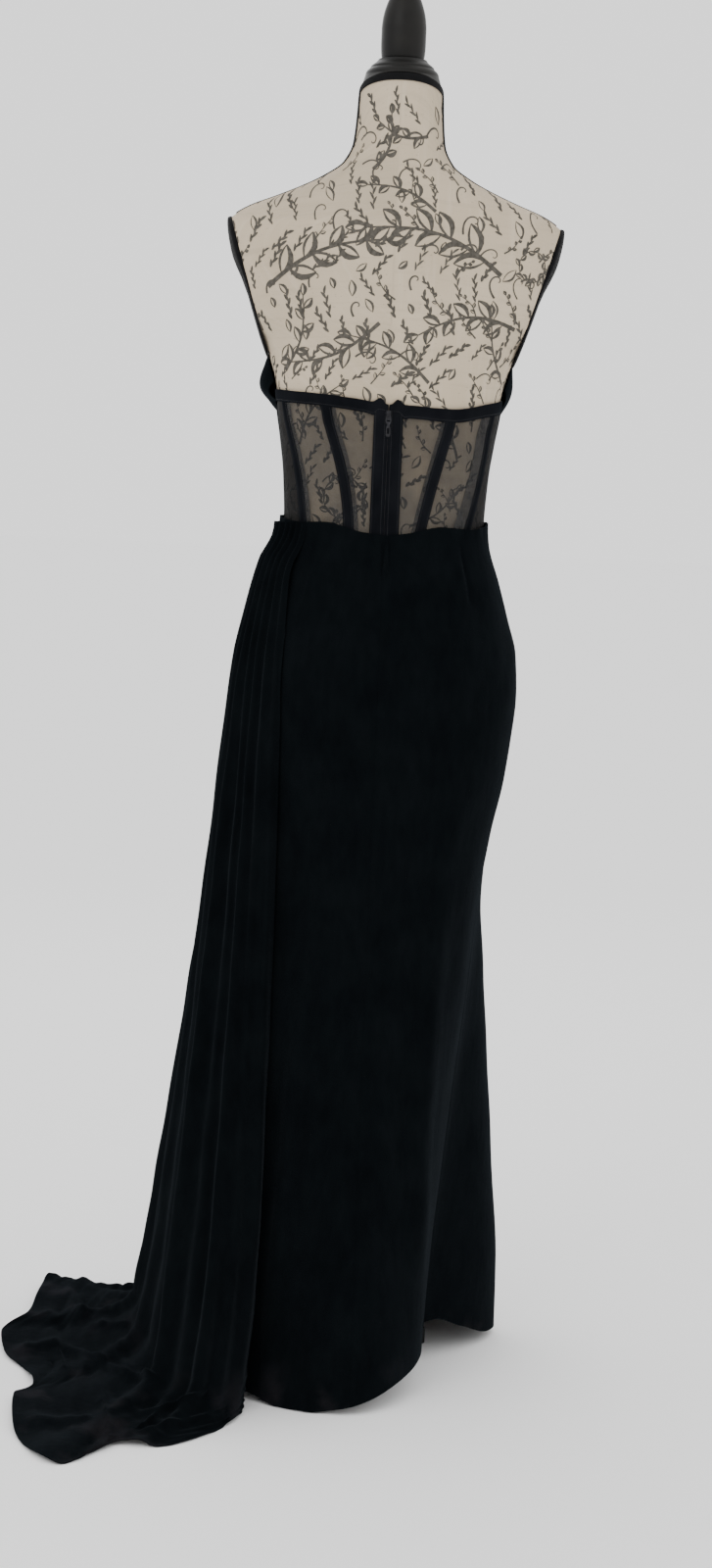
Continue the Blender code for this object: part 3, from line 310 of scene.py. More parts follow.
def surface(name, points, finish, thickness=0.0, wrap=False, ends=False, nodes=(),
            above_floor=False):
    """A smooth surface through a grid of points; with a thickness it is a closed shell."""
    up, across = points.shape[:2]
    uv = stack(lengths(points, 1), lengths(points, 0)).reshape(-1, 2)
    index = np.arange(up * across).reshape(up, across)
    left, right = (index, np.roll(index, -1, axis=1)) if wrap else (index[:, :-1], index[:, 1:])
    faces = stack(left[:-1], right[:-1], right[1:], left[1:]).reshape(-1, 4)
    verts = points.reshape(-1, 3)
    if thickness:
        inner = points - ways_out(points) * thickness
        if above_floor:
            inner[..., 2] = np.maximum(inner[..., 2], FLOOR_CLEAR)
        half = up * across
        verts = np.concatenate([verts, inner.reshape(-1, 3)])
        uv = np.concatenate([uv, uv])
        rims = [(index[0, :-1], index[0, 1:]), (index[-1, 1:], index[-1, :-1])]
        if wrap:
            rims = [(index[0], np.roll(index[0], -1)), (np.roll(index[-1], -1), index[-1])]
        else:
            rims += [(index[:-1, -1], index[1:, -1]), (index[1:, 0], index[:-1, 0])]
        edge = [stack(b, a, a + half, b + half) for a, b in rims]
        faces = np.concatenate([faces, faces[:, ::-1] + half] + edge)
    faces = [tuple(face) for face in faces.tolist()]
    if ends:
        faces += [tuple(reversed(index[0].tolist())), tuple(index[-1].tolist())]
    return piece(name, verts.tolist(), faces, finish, nodes, uv)


def into_scene(name, data):
    thing = bpy.data.objects.new(name, data)
    bpy.context.scene.collection.objects.link(thing)
    return thing


def piece(name, verts, faces, finish, nodes=(), uv=None):
    """Puts a mesh on the gown's body, in place of the CAD nodes that it stands for."""
    mesh = bpy.data.meshes.new(name)
    mesh.from_pydata(verts, [], faces)
    if uv is not None:
        layer = mesh.uv_layers.new(name="UVMap")
        corners = np.empty(len(mesh.loops), dtype=np.int32)
        mesh.loops.foreach_get("vertex_index", corners)
        layer.data.foreach_set("uv", uv[corners].astype(np.float32).ravel())
    mesh.materials.append(MATERIALS[finish])
    mesh.shade_smooth()
    mesh.set_sharp_from_angle(angle=SHARP_ANGLE)
    thing = into_scene(name, mesh)
    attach(thing, BODY)
    if nodes:
        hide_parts(*nodes)
    return thing


# Materials

class Shader:
    """A node material built up from named parts."""

    def __init__(self, name, colour, roughness, **sockets):
        self.material = bpy.data.materials.new(name)
        self.material.use_nodes = True
        self.tree = self.material.node_tree
        self.main = self.tree.nodes["Principled BSDF"]
        self.main.inputs["Base Color"].default_value = (*colour, 1.0)
        self.main.inputs["Roughness"].default_value = roughness
        for key, value in sockets.items():
            socket = key.replace("_", " ").title().replace("Ior", "IOR")
            self.main.inputs[socket].default_value = value
        self.coords = self.tree.nodes.new("ShaderNodeTexCoord")

    def join(self, value, socket):
        if hasattr(value, "is_output"):
            self.tree.links.new(value, socket)
        elif hasattr(socket.default_value, "__len__") and not hasattr(value, "__len__"):
            socket.default_value = (value,) * len(socket.default_value)
        else:
            socket.default_value = value

    def add(self, kind, inputs, output=0, **settings):
        made = self.tree.nodes.new("ShaderNode" + kind)
        for key, value in settings.items():
            setattr(made, key, value)
        for key, value in inputs.items():
            self.join(value, made.inputs[key])
        return made.outputs[output]

    def math(self, operation, a, b=0.0, clamp=False):
        return self.add("Math", {0: a, 1: b}, operation=operation, use_clamp=clamp)

    def times(self, a, b):
        return self.math("MULTIPLY", a, b)

    def plus(self, a, b, clamp=False):
        return self.math("ADD", a, b, clamp)

    def noise(self, scale, detail=2.0, source="Object", stretch=(1.0, 1.0, 1.0)):
        spot = self.add("Mapping", {"Vector": self.coords.outputs[source], "Scale": stretch})
        return self.add("TexNoise", {"Vector": spot, "Scale": scale, "Detail": detail})

    def between(self, factor, low, high):
        return self.add("MapRange", {"Value": factor, "From Min": low, "From Max": high})

    def mix(self, factor, a, b):
        made = self.tree.nodes.new("ShaderNodeMix")
        made.data_type = "RGBA"
        self.join(factor, made.inputs["Factor"])
        for socket, value in ((made.inputs[6], a), (made.inputs[7], b)):
            self.join(value if hasattr(value, "is_output") else (*value, 1.0), socket)
        return made.outputs[2]

    def bump(self, height, distance, strength=1.0):
        made = self.add("Bump", {"Height": height, "Distance": distance, "Strength": strength})
        self.join(made, self.main.inputs["Normal"])

    def colour(self, value):
        self.join(value, self.main.inputs["Base Color"])

    def worn(self, factor, low, high, dark, light):
        self.colour(self.mix(self.between(factor, low, high), dark, light))

    def rough(self, factor, low, high):
        ends = {"From Min": 0.3, "From Max": 0.7, "To Min": low, "To Max": high}
        self.join(self.add("MapRange", {"Value": factor, **ends}), self.main.inputs["Roughness"])


def scaled(colour, factor):
    return tuple(min(1.0, factor * c) for c in colour)


def velvet(name, dark, light, sheen):
    s = Shader(name, dark, 0.9, sheen_weight=sheen, sheen_roughness=0.42,
               sheen_tint=(0.62, 0.72, 0.84, 1.0), specular_ior_level=0.0)
    brushed = s.noise(16.0, 3.0)
    pile = s.noise(900.0, 3.0)
    lay = s.noise(90.0, 4.0, stretch=(1.0, 1.0, 0.35))
    tone = s.plus(s.times(brushed, 0.6), s.times(lay, 0.4))
    height = s.add("SeparateXYZ", {0: s.coords.outputs["Object"]}, 2)
    # Where the nap lies crushed on the floor, below 6 cm, patches get lighter warm and cool tints:
    # painted sheen of light catching the crushed nap
    crushed_nap_painted_sheen = s.times(s.between(s.noise(13.0, 4.0), 0.52, 0.64), s.between(height, 0.06, 0.015))
    smoothed = s.mix(s.between(tone, 0.35, 0.66), dark, light)
    painted_sheen_tints = s.mix(s.noise(9.0), (0.013, 0.0108, 0.0105), (0.009, 0.010, 0.014))
    s.colour(s.mix(s.times(crushed_nap_painted_sheen, 0.7), smoothed, painted_sheen_tints))
    s.rough(lay, 0.82, 0.97)
    s.bump(s.plus(pile, s.times(lay, 1.6)), 0.0007, 0.75)
    return s.material


def woven(s, pitch):
    """Height of a plain weave with threads a pitch apart."""
    axes = s.add("SeparateXYZ", {0: s.coords.outputs["UV"]}).node.outputs
    warp, weft = (s.math("SINE", s.times(axes[k], 2 * math.pi / pitch)) for k in (0, 1))
    return s.times(warp, weft)


def linen():
    s = Shader("linen", (0.60, 0.53, 0.43), 0.88, sheen_weight=0.05, specular_ior_level=0.2)
    weave = woven(s, 0.0011)
    slub = s.noise(120.0, 3.0, "UV", (0.08, 1.0, 1.0))
    warp = s.noise(120.0, 3.0, "UV", (1.0, 0.08, 1.0))
    fleck = s.noise(420.0, 2.0, "UV", (0.5, 1.0, 1.0))
    cloud = s.noise(9.0, 3.0)
    base = s.mix(s.between(cloud, 0.3, 0.7), (0.49, 0.40, 0.285), (0.56, 0.465, 0.34))
    base = s.mix(s.times(s.between(slub, 0.52, 0.75), 0.35), base, (0.38, 0.31, 0.23))
    base = s.mix(s.times(s.between(warp, 0.52, 0.75), 0.30), base, (0.64, 0.55, 0.43))
    base = s.mix(s.times(s.between(fleck, 0.66, 0.74), 0.5), base, (0.24, 0.20, 0.16))
    s.colour(base)
    s.rough(cloud, 0.82, 0.94)
    s.bump(s.plus(s.times(weave, 0.5), s.plus(slub, warp)), 0.0004, 0.6)
    return s.material


def sheer(name, least, painted_shading, gloss):
    s = Shader(name, (0.030, 0.029, 0.028), 0.7, specular_ior_level=gloss)
    inputs = {"Vector": s.coords.outputs["UV"], "Scale": 900.0, "Randomness": 0.12}
    cells = s.add("TexVoronoi", inputs, feature="DISTANCE_TO_EDGE", voronoi_dimensions="2D")
    threads = s.between(cells, 0.20, 0.08)
    haze = s.between(s.noise(22.0, 3.0), 0.3, 0.75)
    cover = s.plus(s.times(threads, 0.42), s.times(haze, 0.16))
    s.join(s.plus(cover, least, clamp=True), s.main.inputs["Alpha"])
    # painted_shading scales the mesh's colour; below 1 it darkens it as painted shade
    dark, light = scaled((0.013, 0.013, 0.0135), painted_shading), scaled((0.027, 0.026, 0.026), painted_shading)
    s.colour(s.mix(haze, dark, light))
    s.bump(threads, 0.0002, 0.4)
    return s.material


def tape(name, colour, pitch):
    s = Shader(name, colour, 0.8, sheen_weight=0.03, specular_ior_level=0.08)
    weave = woven(s, pitch)
    worn = s.noise(60.0, 4.0)
    s.worn(worn, 0.35, 0.7, colour, scaled(colour, 2.2))
    s.rough(worn, 0.66, 0.88)
    s.bump(s.plus(weave, worn), 0.0003, 0.6)
    return s.material


def painted_wood():
    s = Shader("black_wood", (0.006, 0.0055, 0.005), 0.4, specular_ior_level=0.16)
    grain = s.noise(40.0, 4.0, stretch=(1.0, 1.0, 0.15))
    dust = s.noise(14.0, 5.0)
    s.worn(dust, 0.4, 0.75, (0.004, 0.0038, 0.0035), (0.013, 0.012, 0.010))
    s.rough(s.plus(s.times(grain, 0.5), s.times(dust, 0.5)), 0.34, 0.52)
    s.bump(grain, 0.0006, 0.25)
    return s.material


def enamel(name, colour, metallic, low, high):
    s = Shader(name, colour, low, metallic=metallic)
    scuff = s.noise(300.0, 4.0)
    s.worn(scuff, 0.45, 0.8, colour, scaled(colour, 3.0))
    s.rough(scuff, low, high)
    s.bump(scuff, 0.0001, 0.3)
    return s.material


def thread():
    s = Shader("thread", (0.020, 0.020, 0.023), 0.6, sheen_weight=0.1)
    twist = s.noise(2500.0, 2.0)
    s.colour(s.mix(twist, (0.012, 0.012, 0.014), (0.034, 0.034, 0.038)))
    s.rough(twist, 0.5, 0.75)
    return s.material


def ink():
    s = Shader("ink", (0.11, 0.10, 0.085), 0.9, specular_ior_level=0.1)
    faded = s.noise(260.0, 4.0)
    s.worn(faded, 0.35, 0.72, (0.055, 0.050, 0.042), (0.11, 0.10, 0.085))
    s.rough(faded, 0.85, 0.95)
    return s.material


MATERIALS = {
    "velvet": velvet("velvet", (0.0021, 0.0028, 0.0034), (0.0034, 0.0045, 0.0053), 0.036),
    "trim": velvet("trim", (0.0042, 0.0046, 0.0058), (0.0080, 0.0086, 0.0105), 0.03),
    "mesh": sheer("mesh", 0.38, 1.0, 0.25),
    # The side panels' mesh is a darker copy: its colour, at 0.55 of the mesh's, is painted shade,
    # and its higher cover stands for the denser threads seen on the turned sides
    "side_mesh_painted_shade": sheer("side_mesh_painted_shade", 0.78, 0.55, 0.05),
    "linen": linen(),
    "ink": ink(),
    "thread": thread(),
    "black_tape": tape("black_tape", (0.003, 0.003, 0.0034), 0.0016),
    "black_wood": painted_wood(),
    "pole": enamel("pole", (0.03, 0.03, 0.032), 0.8, 0.3, 0.5),
    "zip_metal": enamel("zip_metal", (0.010, 0.010, 0.012), 0.6, 0.30, 0.48),
}


# Dress form

def make_torso():
    heights = np.concatenate([np.linspace(0.740, 0.765, 8), np.linspace(0.775, 1.37, 120),
                              np.linspace(1.374, 1.46, 46), np.linspace(1.464, FORM_TOP, 18)])
    angles = np.linspace(360.0, 0.0, 241)[:-1]
    grid = form_skin(angles[None, :], heights[:, None])
    thing = surface("linen_body", grid, "linen", wrap=True, ends=True, nodes=("form_torso",))


# Rows of an arm plate: millimetres out of the form, and share of its full size
PLATE_ROWS = (
    (0.3, 0.995), (1, 1), (4.2, 1), (5.4, 0.985), (6.4, 0.955), (7.6, 0.9), (8.9, 0.82),
    (10, 0.72), (10.8, 0.6), (11.4, 0.48), (11.8, 0.34), (12, 0.2),
)
# Rows of the neck tape: millimetres up from the form's top, and out of it
NECK_TAPE_ROWS = (
    (-7, 0.35), (-6.9, 1.2), (-6, 1.5), (-3.5, 1.62), (-1, 1.5), (-0.1, 1.2), (0, 0.35),
)


def make_arm_plates():
    lean = math.atan(PLATE_SLOPE)
    up = np.array((math.sin(lean), 0.0, math.cos(lean)))
    out = np.array((math.cos(lean), 0.0, -math.sin(lean)))
    reach = PLATE_FOOT[0] + PLATE_SLOPE * (PLATE_CENTRE_HEIGHT - PLATE_FOOT[1])
    foot = np.array((reach, 0.0, PLATE_CENTRE_HEIGHT))
    turns = np.linspace(0, 2 * math.pi, 97)[:-1]
    for side, hand in HANDS:
        rows = []
        for proud, shrink in PLATE_ROWS:
            rise = shrink * np.sin(turns) - PLATE_THIN_BELOW
            rise = smooth(rise / (PLATE_FULL_ABOVE - PLATE_THIN_BELOW))
            lift = (0.3 + (proud - 0.3) * blend(PLATE_LOW_SHARE, 1.0, rise)) * MM
            row = (foot + np.outer(lift, out)
                   + np.outer(np.sin(turns), up) * PLATE_HALF_HEIGHT * shrink
                   + np.outer(np.cos(turns), (0.0, 1.0, 0.0)) * PLATE_HALF_WIDTH * shrink)
            row[:, 0] *= side
            rows.append(row if side > 0 else row[::-1])
        surface(f"arm_plate_{hand}", np.array(rows), "black_tape", wrap=True, ends=True,
                nodes=(f"form_arm_plate_{hand}",))


def make_tapes():
    angles = np.linspace(360.0, 0.0, 129)[:-1]
    rows = []
    for rise, proud in NECK_TAPE_ROWS:
        height = np.full_like(angles, FORM_TOP + rise * MM)
        rows.append(on_form(angles, height, np.full_like(angles, proud * MM)))
    surface("neck_tape", np.array(rows), "black_tape", wrap=True, nodes=("form_neck_tape",))
    heights = np.linspace(TAPE_FOOT, FORM_TOP - 0.0076, 70)
    across = np.linspace(1.0, -1.0, 9)
    for side, hand in HANDS:
        half = np.degrees(TAPE_HALF_WIDTH / form_skin(90.0, heights)[..., 0])
        middle = blend(0.7, -0.6, np.clip((heights - 1.425) / 0.030, 0, 1))
        turns = 90.0 + half[:, None] * (middle[:, None] + across[None, :])
        if side < 0:
            turns = turns[:, ::-1]
        proud = 1.5 * MM + 0.2 * MM * (1 - across ** 2)[None, :] + np.zeros_like(turns)
        grid = on_form(side * turns, np.broadcast_to(heights[:, None], turns.shape), proud)
        surface(f"shoulder_tape_{hand}", grid, "black_tape", 1.2 * MM,
                nodes=(f"form_shoulder_tape_{hand}",))


def turned(name, profile, nodes, foot=()):
    """A turned piece; its foot rows are slanted rings on the neck."""
    heights, radii = np.array(profile).T * CM
    along = lengths(stack(radii, heights)[None], 1)[0]
    fine = np.linspace(0, along[-1], 60)
    rows = stack(along, heights, radii)
    shape = Table(("along", "height", "radius"), rows, 1.0)
    turns = np.linspace(0, 2 * math.pi, 97)[:-1]
    circle = stack(np.cos(turns), np.sin(turns), np.zeros_like(turns))
    rows = []
    for rise, radius in foot:
        row = circle * radius
        row[:, 2] = FORM_TOP + rise + math.tan(math.radians(NECK_SLANT)) * row[:, 1]
        rows.append(row)
    for height, radius in zip(shape.at("height", fine), shape.at("radius", fine)):
        rows.append(circle * radius + (0.0, 0.0, height))
    surface(name, np.array(rows), "black_wood", wrap=True, ends=True, nodes=nodes)


def make_cap_and_finial():
    cap = ((155.4, 4.35), (155.7, 4.28), (156, 4.08), (156.25, 3.8), (156.45, 3.72),
           (156.7, 3.45), (156.95, 3.12), (157.1, 2.98), (157.3, 2.85))
    turned("neck_cap", cap, ("form_cap",), ((0.0003, 0.0482), (0.0012, 0.0487), (0.0032, 0.0478)))
    finial = ((157.33, 2.44), (157.6, 2.53), (158.2, 2.6), (159.2, 2.64), (160.8, 2.64),
              (161.9, 2.55), (162.7, 2.4), (163.4, 2.2), (164.1, 1.95), (164.9, 1.58),
              (165.7, 1.08), (166.2, 0.6), (166.4, 0.3), (166.45, 0.05))
    turned("finial", finial, ("form_finial",))


# Print of the linen: sprays, tendrils, wreaths and small leaves in faded ink

# Large sprays: place round the form and height, turn, size, weight of ink, leaves and bow
SPRAYS = (
    (-0.125, 1.322, 0.3, 0.165, 4.2, 9, 0.12), (0.15, 1.3, 2.75, 0.15, 4.4, 8, -0.1),
    (-0.15, 1.262, -0.1, 0.12, 3.4, 7, 0.14), (0.015, 1.262, -0.4, 0.12, 3.4, 7, -0.12),
    (-0.045, 1.196, 0.5, 0.105, 3, 6, 0.1), (0.03, 1.44, 1.9, 0.06, 3.2, 5, 0.15),
    (-0.035, 1.478, 0.2, 0.062, 2.6, 5, -0.15), (-0.045, 1.392, 0.35, 0.085, 3, 6, 0.12),
    (0.135, 1.205, 1.9, 0.09, 2.8, 6, 0.14), (-0.155, 1.2, 1.1, 0.085, 2.8, 5, -0.12),
    (-0.085, 1.11, 0.9, 0.08, 2.8, 6, 0.12), (0.11, 1.12, 2.2, 0.085, 2.8, 6, -0.12),
    (-0.03, 1.03, 2.5, 0.07, 2.4, 5, 0.1),
)


def bent(foot, turn, along, across):
    """Points at lengths along and across a direction from a foot."""
    cosine, sine = math.cos(turn), math.sin(turn)
    return foot + np.outer(along, (cosine, sine)) + np.outer(across, (-sine, cosine))


class Print:
    """Flat strokes just proud of the form, placed by length round it and by height."""

    def __init__(self):
        self.heights = np.linspace(0.98, FORM_TOP, 120)
        self.angles = np.linspace(0.0, 180.0, 181)
        skin = form_skin(self.angles[None, :], self.heights[:, None])
        self.rings = lengths(skin, 1)
        self.spots, self.faces = [], []

    def angle(self, u, height):
        k = np.clip(np.searchsorted(self.heights, height) - 1, 0, len(self.heights) - 2)
        t = (height - self.heights[k]) / (self.heights[k + 1] - self.heights[k])
        ring = blend(self.rings[k], self.rings[k + 1], min(max(t, 0.0), 1.0))
        return math.copysign(np.interp(abs(u), ring, self.angles), u)

    def stroke(self, line, widths):
        line = np.array(line)
        if line[:, 1].max() > FORM_TOP - 0.010 or line[:, 1].min() < 0.985:
            return
        way = unit(np.gradient(line, axis=0))
        side = stack(-way[:, 1], way[:, 0]) * (np.asarray(widths) * MM / 2)[:, None]
        start = len(self.spots)
        self.spots += np.stack([line + side, line, line - side], axis=1).reshape(-1, 2).tolist()
        for i in range(len(line) - 1):
            a = start + 3 * i
            self.faces += [(a, a + 3, a + 4, a + 1), (a + 1, a + 4, a + 5, a + 2)]

    def leaf(self, foot, turn, size, ink):
        """A leaf outlined by two arcs, the upper one bold."""
        t = shares(7)
        for hand, weight in ((0.24, 1.5), (-0.16, 0.7)):
            bow = np.sin(math.pi * t)
            line = bent(foot, turn, t * size, bow * size * hand)
            self.stroke(line, ink * weight * (0.35 + 0.9 * bow))

    def spray(self, foot, turn, size, ink, leaves, bow):
        """A bowed stem with leaves on both hands."""
        t = shares(15)
        line = bent(foot, turn, t * size, np.sin(math.pi * t) * bow * size)
        self.stroke(line, ink * (1.35 - 0.9 * t))
        heads = np.arctan2(*np.gradient(line, axis=0).T[::-1])
        for k in range(leaves):
            spot = 1 + round((k + 0.6) / leaves * 12)
            hand = 1 if k % 2 else -1
            length = size * (0.24 - 0.08 * t[spot])
            self.leaf(line[spot], heads[spot] + hand * 0.75, length, ink * 0.85)
        self.leaf(line[-1], heads[-1], size * 0.16, ink * 0.8)

    def tendril(self, foot, turn, size, ink):
        t = shares(22)
        curl = turn + 5.6 * t ** 1.6
        steps = size * (1.15 - t)[:, None] / 9 * stack(np.cos(curl), np.sin(curl))
        self.stroke(foot + np.cumsum(steps, axis=0), ink * (1.3 - 0.8 * t))

    def reed(self, foot, turn, size, ink):
        """A slanted stem of short bold strokes."""
        t = shares(5)
        for k in range(6):
            hand = 0.5 if k % 2 else -0.5
            line = bent(foot, turn, size * (0.26 * t + k / 6), t ** 1.7 * size * 0.22 * hand)
            self.stroke(line, ink * (0.5 + 1.1 * np.sin(math.pi * t)))

    def wreath(self, middle, size, ink):
        for k in range(16):
            turn = 2 * math.pi * k / 16
            foot = bent(middle, turn, [size], [0])[0]
            self.leaf(foot, turn + math.pi / 2 + (0.5 if k % 2 else -0.5), size * 0.52, ink)
        turn = np.linspace(0, 2 * math.pi, 40)
        circle = stack(np.cos(turn), np.sin(turn))
        self.stroke(middle + size * circle, np.full(40, ink * 0.6))

    def make(self):
        spots = np.array(self.spots)
        angles = np.array([self.angle(u, height) for u, height in spots])
        verts = on_form(angles, spots[:, 1], np.full(len(spots), PRINT_PROUD))
        piece("linen_print", verts.tolist(), self.faces, "ink")


def make_print():
    work = Print()
    for x, z, *rest in SPRAYS:
        work.spray(np.array((x, z)), *rest)
    work.wreath(np.array((0.050, 1.060)), 0.024, 2.4)
    work.wreath(np.array((-0.165, 1.335)), 0.018, 1.8)
    rng = np.random.default_rng(11)
    for i in range(-17, 18):
        for j in range(21):
            x = i * 0.0245 + rng.uniform(-0.006, 0.006)
            foot = np.array((x, 0.995 + j * 0.025 + rng.uniform(-0.007, 0.007)))
            turn = rng.uniform(-0.35, 0.35) + (1.15 if j % 5 < 3 else 2.3)
            kind = rng.integers(0, 5)
            if kind == 0:
                work.spray(foot, turn, rng.uniform(0.024, 0.038), rng.uniform(1.2, 1.9), 4,
                           rng.uniform(-0.15, 0.15))
            elif kind == 1:
                work.tendril(foot, turn, rng.uniform(0.018, 0.030), rng.uniform(1.4, 2.2))
            elif kind == 2:
                work.leaf(foot, turn, rng.uniform(0.012, 0.022), rng.uniform(1.4, 2.2))
            else:
                work.reed(foot, turn, rng.uniform(0.022, 0.036), rng.uniform(1.6, 2.5))
    work.make()


# Bodice

def bodice_top(angle):
    behind = BAND.at("low", angle) * CM - 0.7 * MM
    ahead = CUP.at("low", np.abs(angle)) * CM - 1.0 * MM
    return np.where(np.abs(angle) < CUP_EDGE_ANGLE, behind, ahead)


def line_angle(name, share, side):
    if name == "centre_back":
        return np.zeros_like(share)
    if name == "centre_front":
        return np.full_like(share, side * 180.0)
    facing, top, bottom, bow_left, bow_right = LINES[name]
    if facing == "side":
        return np.full_like(share, side * SIDE_BONE_ANGLE)
    bow = bow_left if side > 0 else bow_right
    reach = blend(bottom, top, share) + bow * np.sin(math.pi * np.minimum(share / BOW_TOP, 1.0))
    return form_angle(side * reach * CM, blend(BODICE_BOTTOM, BONE_TOP, share), facing)


def turn_over(length, angle, height):
    """Plan angle that a length round the form takes up."""
    return np.degrees(length / np.linalg.norm(form_skin(angle, height)[..., :2], axis=-1))


def bone_line(name, side):
    """Plan angles of a line by the share of the way up it."""
    return lambda share: line_angle(name, share, side)


def between_lines(first, last, proud, across, up, inset=(0.0, 0.0)):
    """Points of a bodice piece between two lines of plan angles; proud may be a grid."""
    share = shares(up)
    heights = blend(BODICE_BOTTOM, BONE_TOP, share)
    a, b = first(share), last(share)
    turn = 1.0 if b[0] > a[0] else -1.0
    a = a + turn * turn_over(inset[0], a, heights)
    b = b - turn * turn_over(inset[1], b, heights)
    place = shares(across)
    if turn > 0:
        place = place[::-1]
    angles = a[:, None] + (b - a)[:, None] * place[None, :]
    tops = bodice_top(wrapped(angles))
    heights = blend(BODICE_BOTTOM, tops, share[:, None])
    return on_form(angles, heights, np.broadcast_to(proud, angles.shape))


PANELS = (
    ("back", "centre_back", "back"), ("side_back", "back", "side_back"),
    ("side", "side_back", "side"), ("side_front", "side", "front"),
    ("front", "front", "centre_front"),
)


def panel_creases(across, up, seed):
    """Faint slanted drags in the mesh."""
    rng = np.random.default_rng(seed)
    x, y = np.meshgrid(shares(across), shares(up))
    total = np.zeros_like(x)
    for _ in range(5):
        spot, rise = rng.uniform(0.1, 0.9), rng.uniform(0.2, 0.95)
        tilt, size = rng.uniform(-0.5, 0.5), rng.uniform(0.3, 1.0)
        total += size * bell(y - rise - tilt * (x - spot), 0.025) * bell(x - spot, 0.35)
    edge = np.sin(math.pi * x) ** 0.5 * np.sin(math.pi * y) ** 0.5
    return total * edge * 0.9 * MM


def make_panels():
    for side, hand in HANDS:
        for number, (name, first, last) in enumerate(PANELS):
            proud = MESH_PROUD + panel_creases(30, 46, 10 * number + (1 if side > 0 else 7))
            if side < 0:
                proud = proud[:, ::-1]
            grid = between_lines(bone_line(first, side), bone_line(last, side), proud, 30, 46,
                                 (MESH_GAP, MESH_GAP))
            # The side panels take the darker mesh, whose colour is painted shade
            finish = "side_mesh_painted_shade" if name == "side" else "mesh"
            thing = surface(f"net_{name}_{hand}", grid, finish, nodes=(f"mesh_{name}_{hand}",))
            widths, heights = lengths(grid, 1)[:, -1], lengths(grid, 0)[-1]


def make_allowances_and_painted_shade():
    """Turned seam allowances, where the mesh is double beside a casing; the right side-back strip
    is widened to 21 mm as painted shade over that panel.
    """
    left, right = HANDS
    # The right side-back strip, 21 mm wide, is painted shade: a second layer of mesh darkening most
    # of that panel, where shade falls; the other three are real allowances
    for (side, hand), name, width in ((left, "side_back", 0.0115), (left, "back", 0.0112),
                                      (right, "side_back", 0.021), (right, "back", 0.0104)):
        line = bone_line(name, side)
        grid = between_lines(line, lambda s: line(s) - side * NUDGE, ALLOWANCE_PROUD, 8, 46,
                             (0.0, -width))
        thing = surface(f"net_allowance_{name}_{hand}", grid, "mesh")


def stitches(name, lines):
    """Rows of small stitches along lines of points with their outward directions."""
    verts, faces = [], []
    for points, ways in lines:
        reach = lengths(points[None], 1)[0]
        spots = np.arange(STITCH_PITCH / 2, reach[-1], STITCH_PITCH)
        centre = np.stack([np.interp(spots, reach, points[:, k]) for k in range(3)], axis=-1)
        out = unit(np.stack([np.interp(spots, reach, ways[:, k]) for k in range(3)], axis=-1))
        along = unit(np.gradient(centre, axis=0))
        side = unit(np.cross(along, out)) * STITCH_RADIUS
        for c, a, o, w in zip(centre, along * STITCH_LENGTH / 2, out * STITCH_RADIUS, side):
            k = len(verts)
            verts += [c - a - o * 0.4, c - a * 0.5 + w, c - a * 0.5 + o, c - a * 0.5 - w,
                      c + a * 0.5 + w, c + a * 0.5 + o, c + a * 0.5 - w, c + a - o * 0.4]
            faces += [(k, k + 1, k + 2), (k, k + 2, k + 3), (k + 1, k + 4, k + 5, k + 2),
                      (k + 2, k + 5, k + 6, k + 3), (k + 7, k + 5, k + 4), (k + 7, k + 6, k + 5)]
    piece(name, [tuple(v) for v in verts], faces, "thread")


def seams(grid, columns, lift):
    """Lines of stitches down some columns of a surface, lifted by millimetres."""
    ways = ways_out(grid)
    return [(grid[:, k] + ways[:, k] * lift * MM, ways[:, k]) for k in columns]


def casing(name, middle, half_width, node):
    """A velvet casing with a rounded back over its bone and a flat edge each side."""
    across, up = 15, 90
    x = np.linspace(-1, 1, across)
    wobble = 0.12 * MM * np.sin(np.linspace(0, 21, up))[:, None] * (1 - x ** 2)[None, :]
    crown = 1.35 * MM * np.clip(1 - (np.abs(x) / 0.74) ** 3.0, 0, 1)[None, :]
    grid = between_lines(middle, lambda s: middle(s) + NUDGE, CASING_PROUD + crown + wobble,
                         across, up, (-half_width, -half_width))
    surface(name, grid, "trim", 1.0 * MM, nodes=(node,))
    return seams(grid, (2, across - 3), 0.15)


def make_casings():
    rows = []
    for side, hand in HANDS:
        for name, half in (("back", 6.0), ("side_back", 5.2), ("side", 5.2), ("front", 5.6)):
            rows += casing(f"casing_{name}_{hand}", bone_line(name, side), half * MM,
                           f"bone_{name}_{hand}")
    middle = bone_line("centre_front", 1)
    rows += casing("casing_centre_front", middle, 5.8 * MM, "bone_centre_front")
    stitches("casing_stitches", rows)


def zip_band_angle(share, side):
    return form_angle(side * ZIP_BAND_WIDTH, blend(BODICE_BOTTOM, BONE_TOP, share), "back")


def make_zip_bands():
    rows = []
    across, up = 26, 90
    x = shares(across)
    edge = np.clip(x / 0.10, 0, 1)
    proud = ZIP_PROUD + 1.3 * MM * np.sqrt(1 - (1 - edge) ** 2)
    proud = proud - 0.7 * MM * smooth((x - 0.90) / 0.10)
    proud = proud + 0.25 * MM * bell(x - 0.5, 0.2) - 0.28 * MM * bell(x - 0.24, 0.02)
    share = shares(up)
    for side, hand in HANDS:
        shape = proud[::-1] if side > 0 else proud
        places = np.linspace(0, ZIP_BAND_WIDTH, across)[None, :] * 4
        wave = 0.14 * MM * ripple(places, share[:, None] * 0.15, 3 + side)
        grid = between_lines(bone_line("centre_back", side), lambda s: zip_band_angle(s, side),
                             shape[None, :] + wave, across, up, (ZIP_GAP, 0.0))
        surface(f"zip_facing_{hand}", grid, "trim", 1.0 * MM, nodes=(f"zip_band_{hand}",))
        rows += seams(grid, (3, 19) if side > 0 else (22, 6), 0.12)
    stitches("zip_stitches", rows)
    make_teeth()


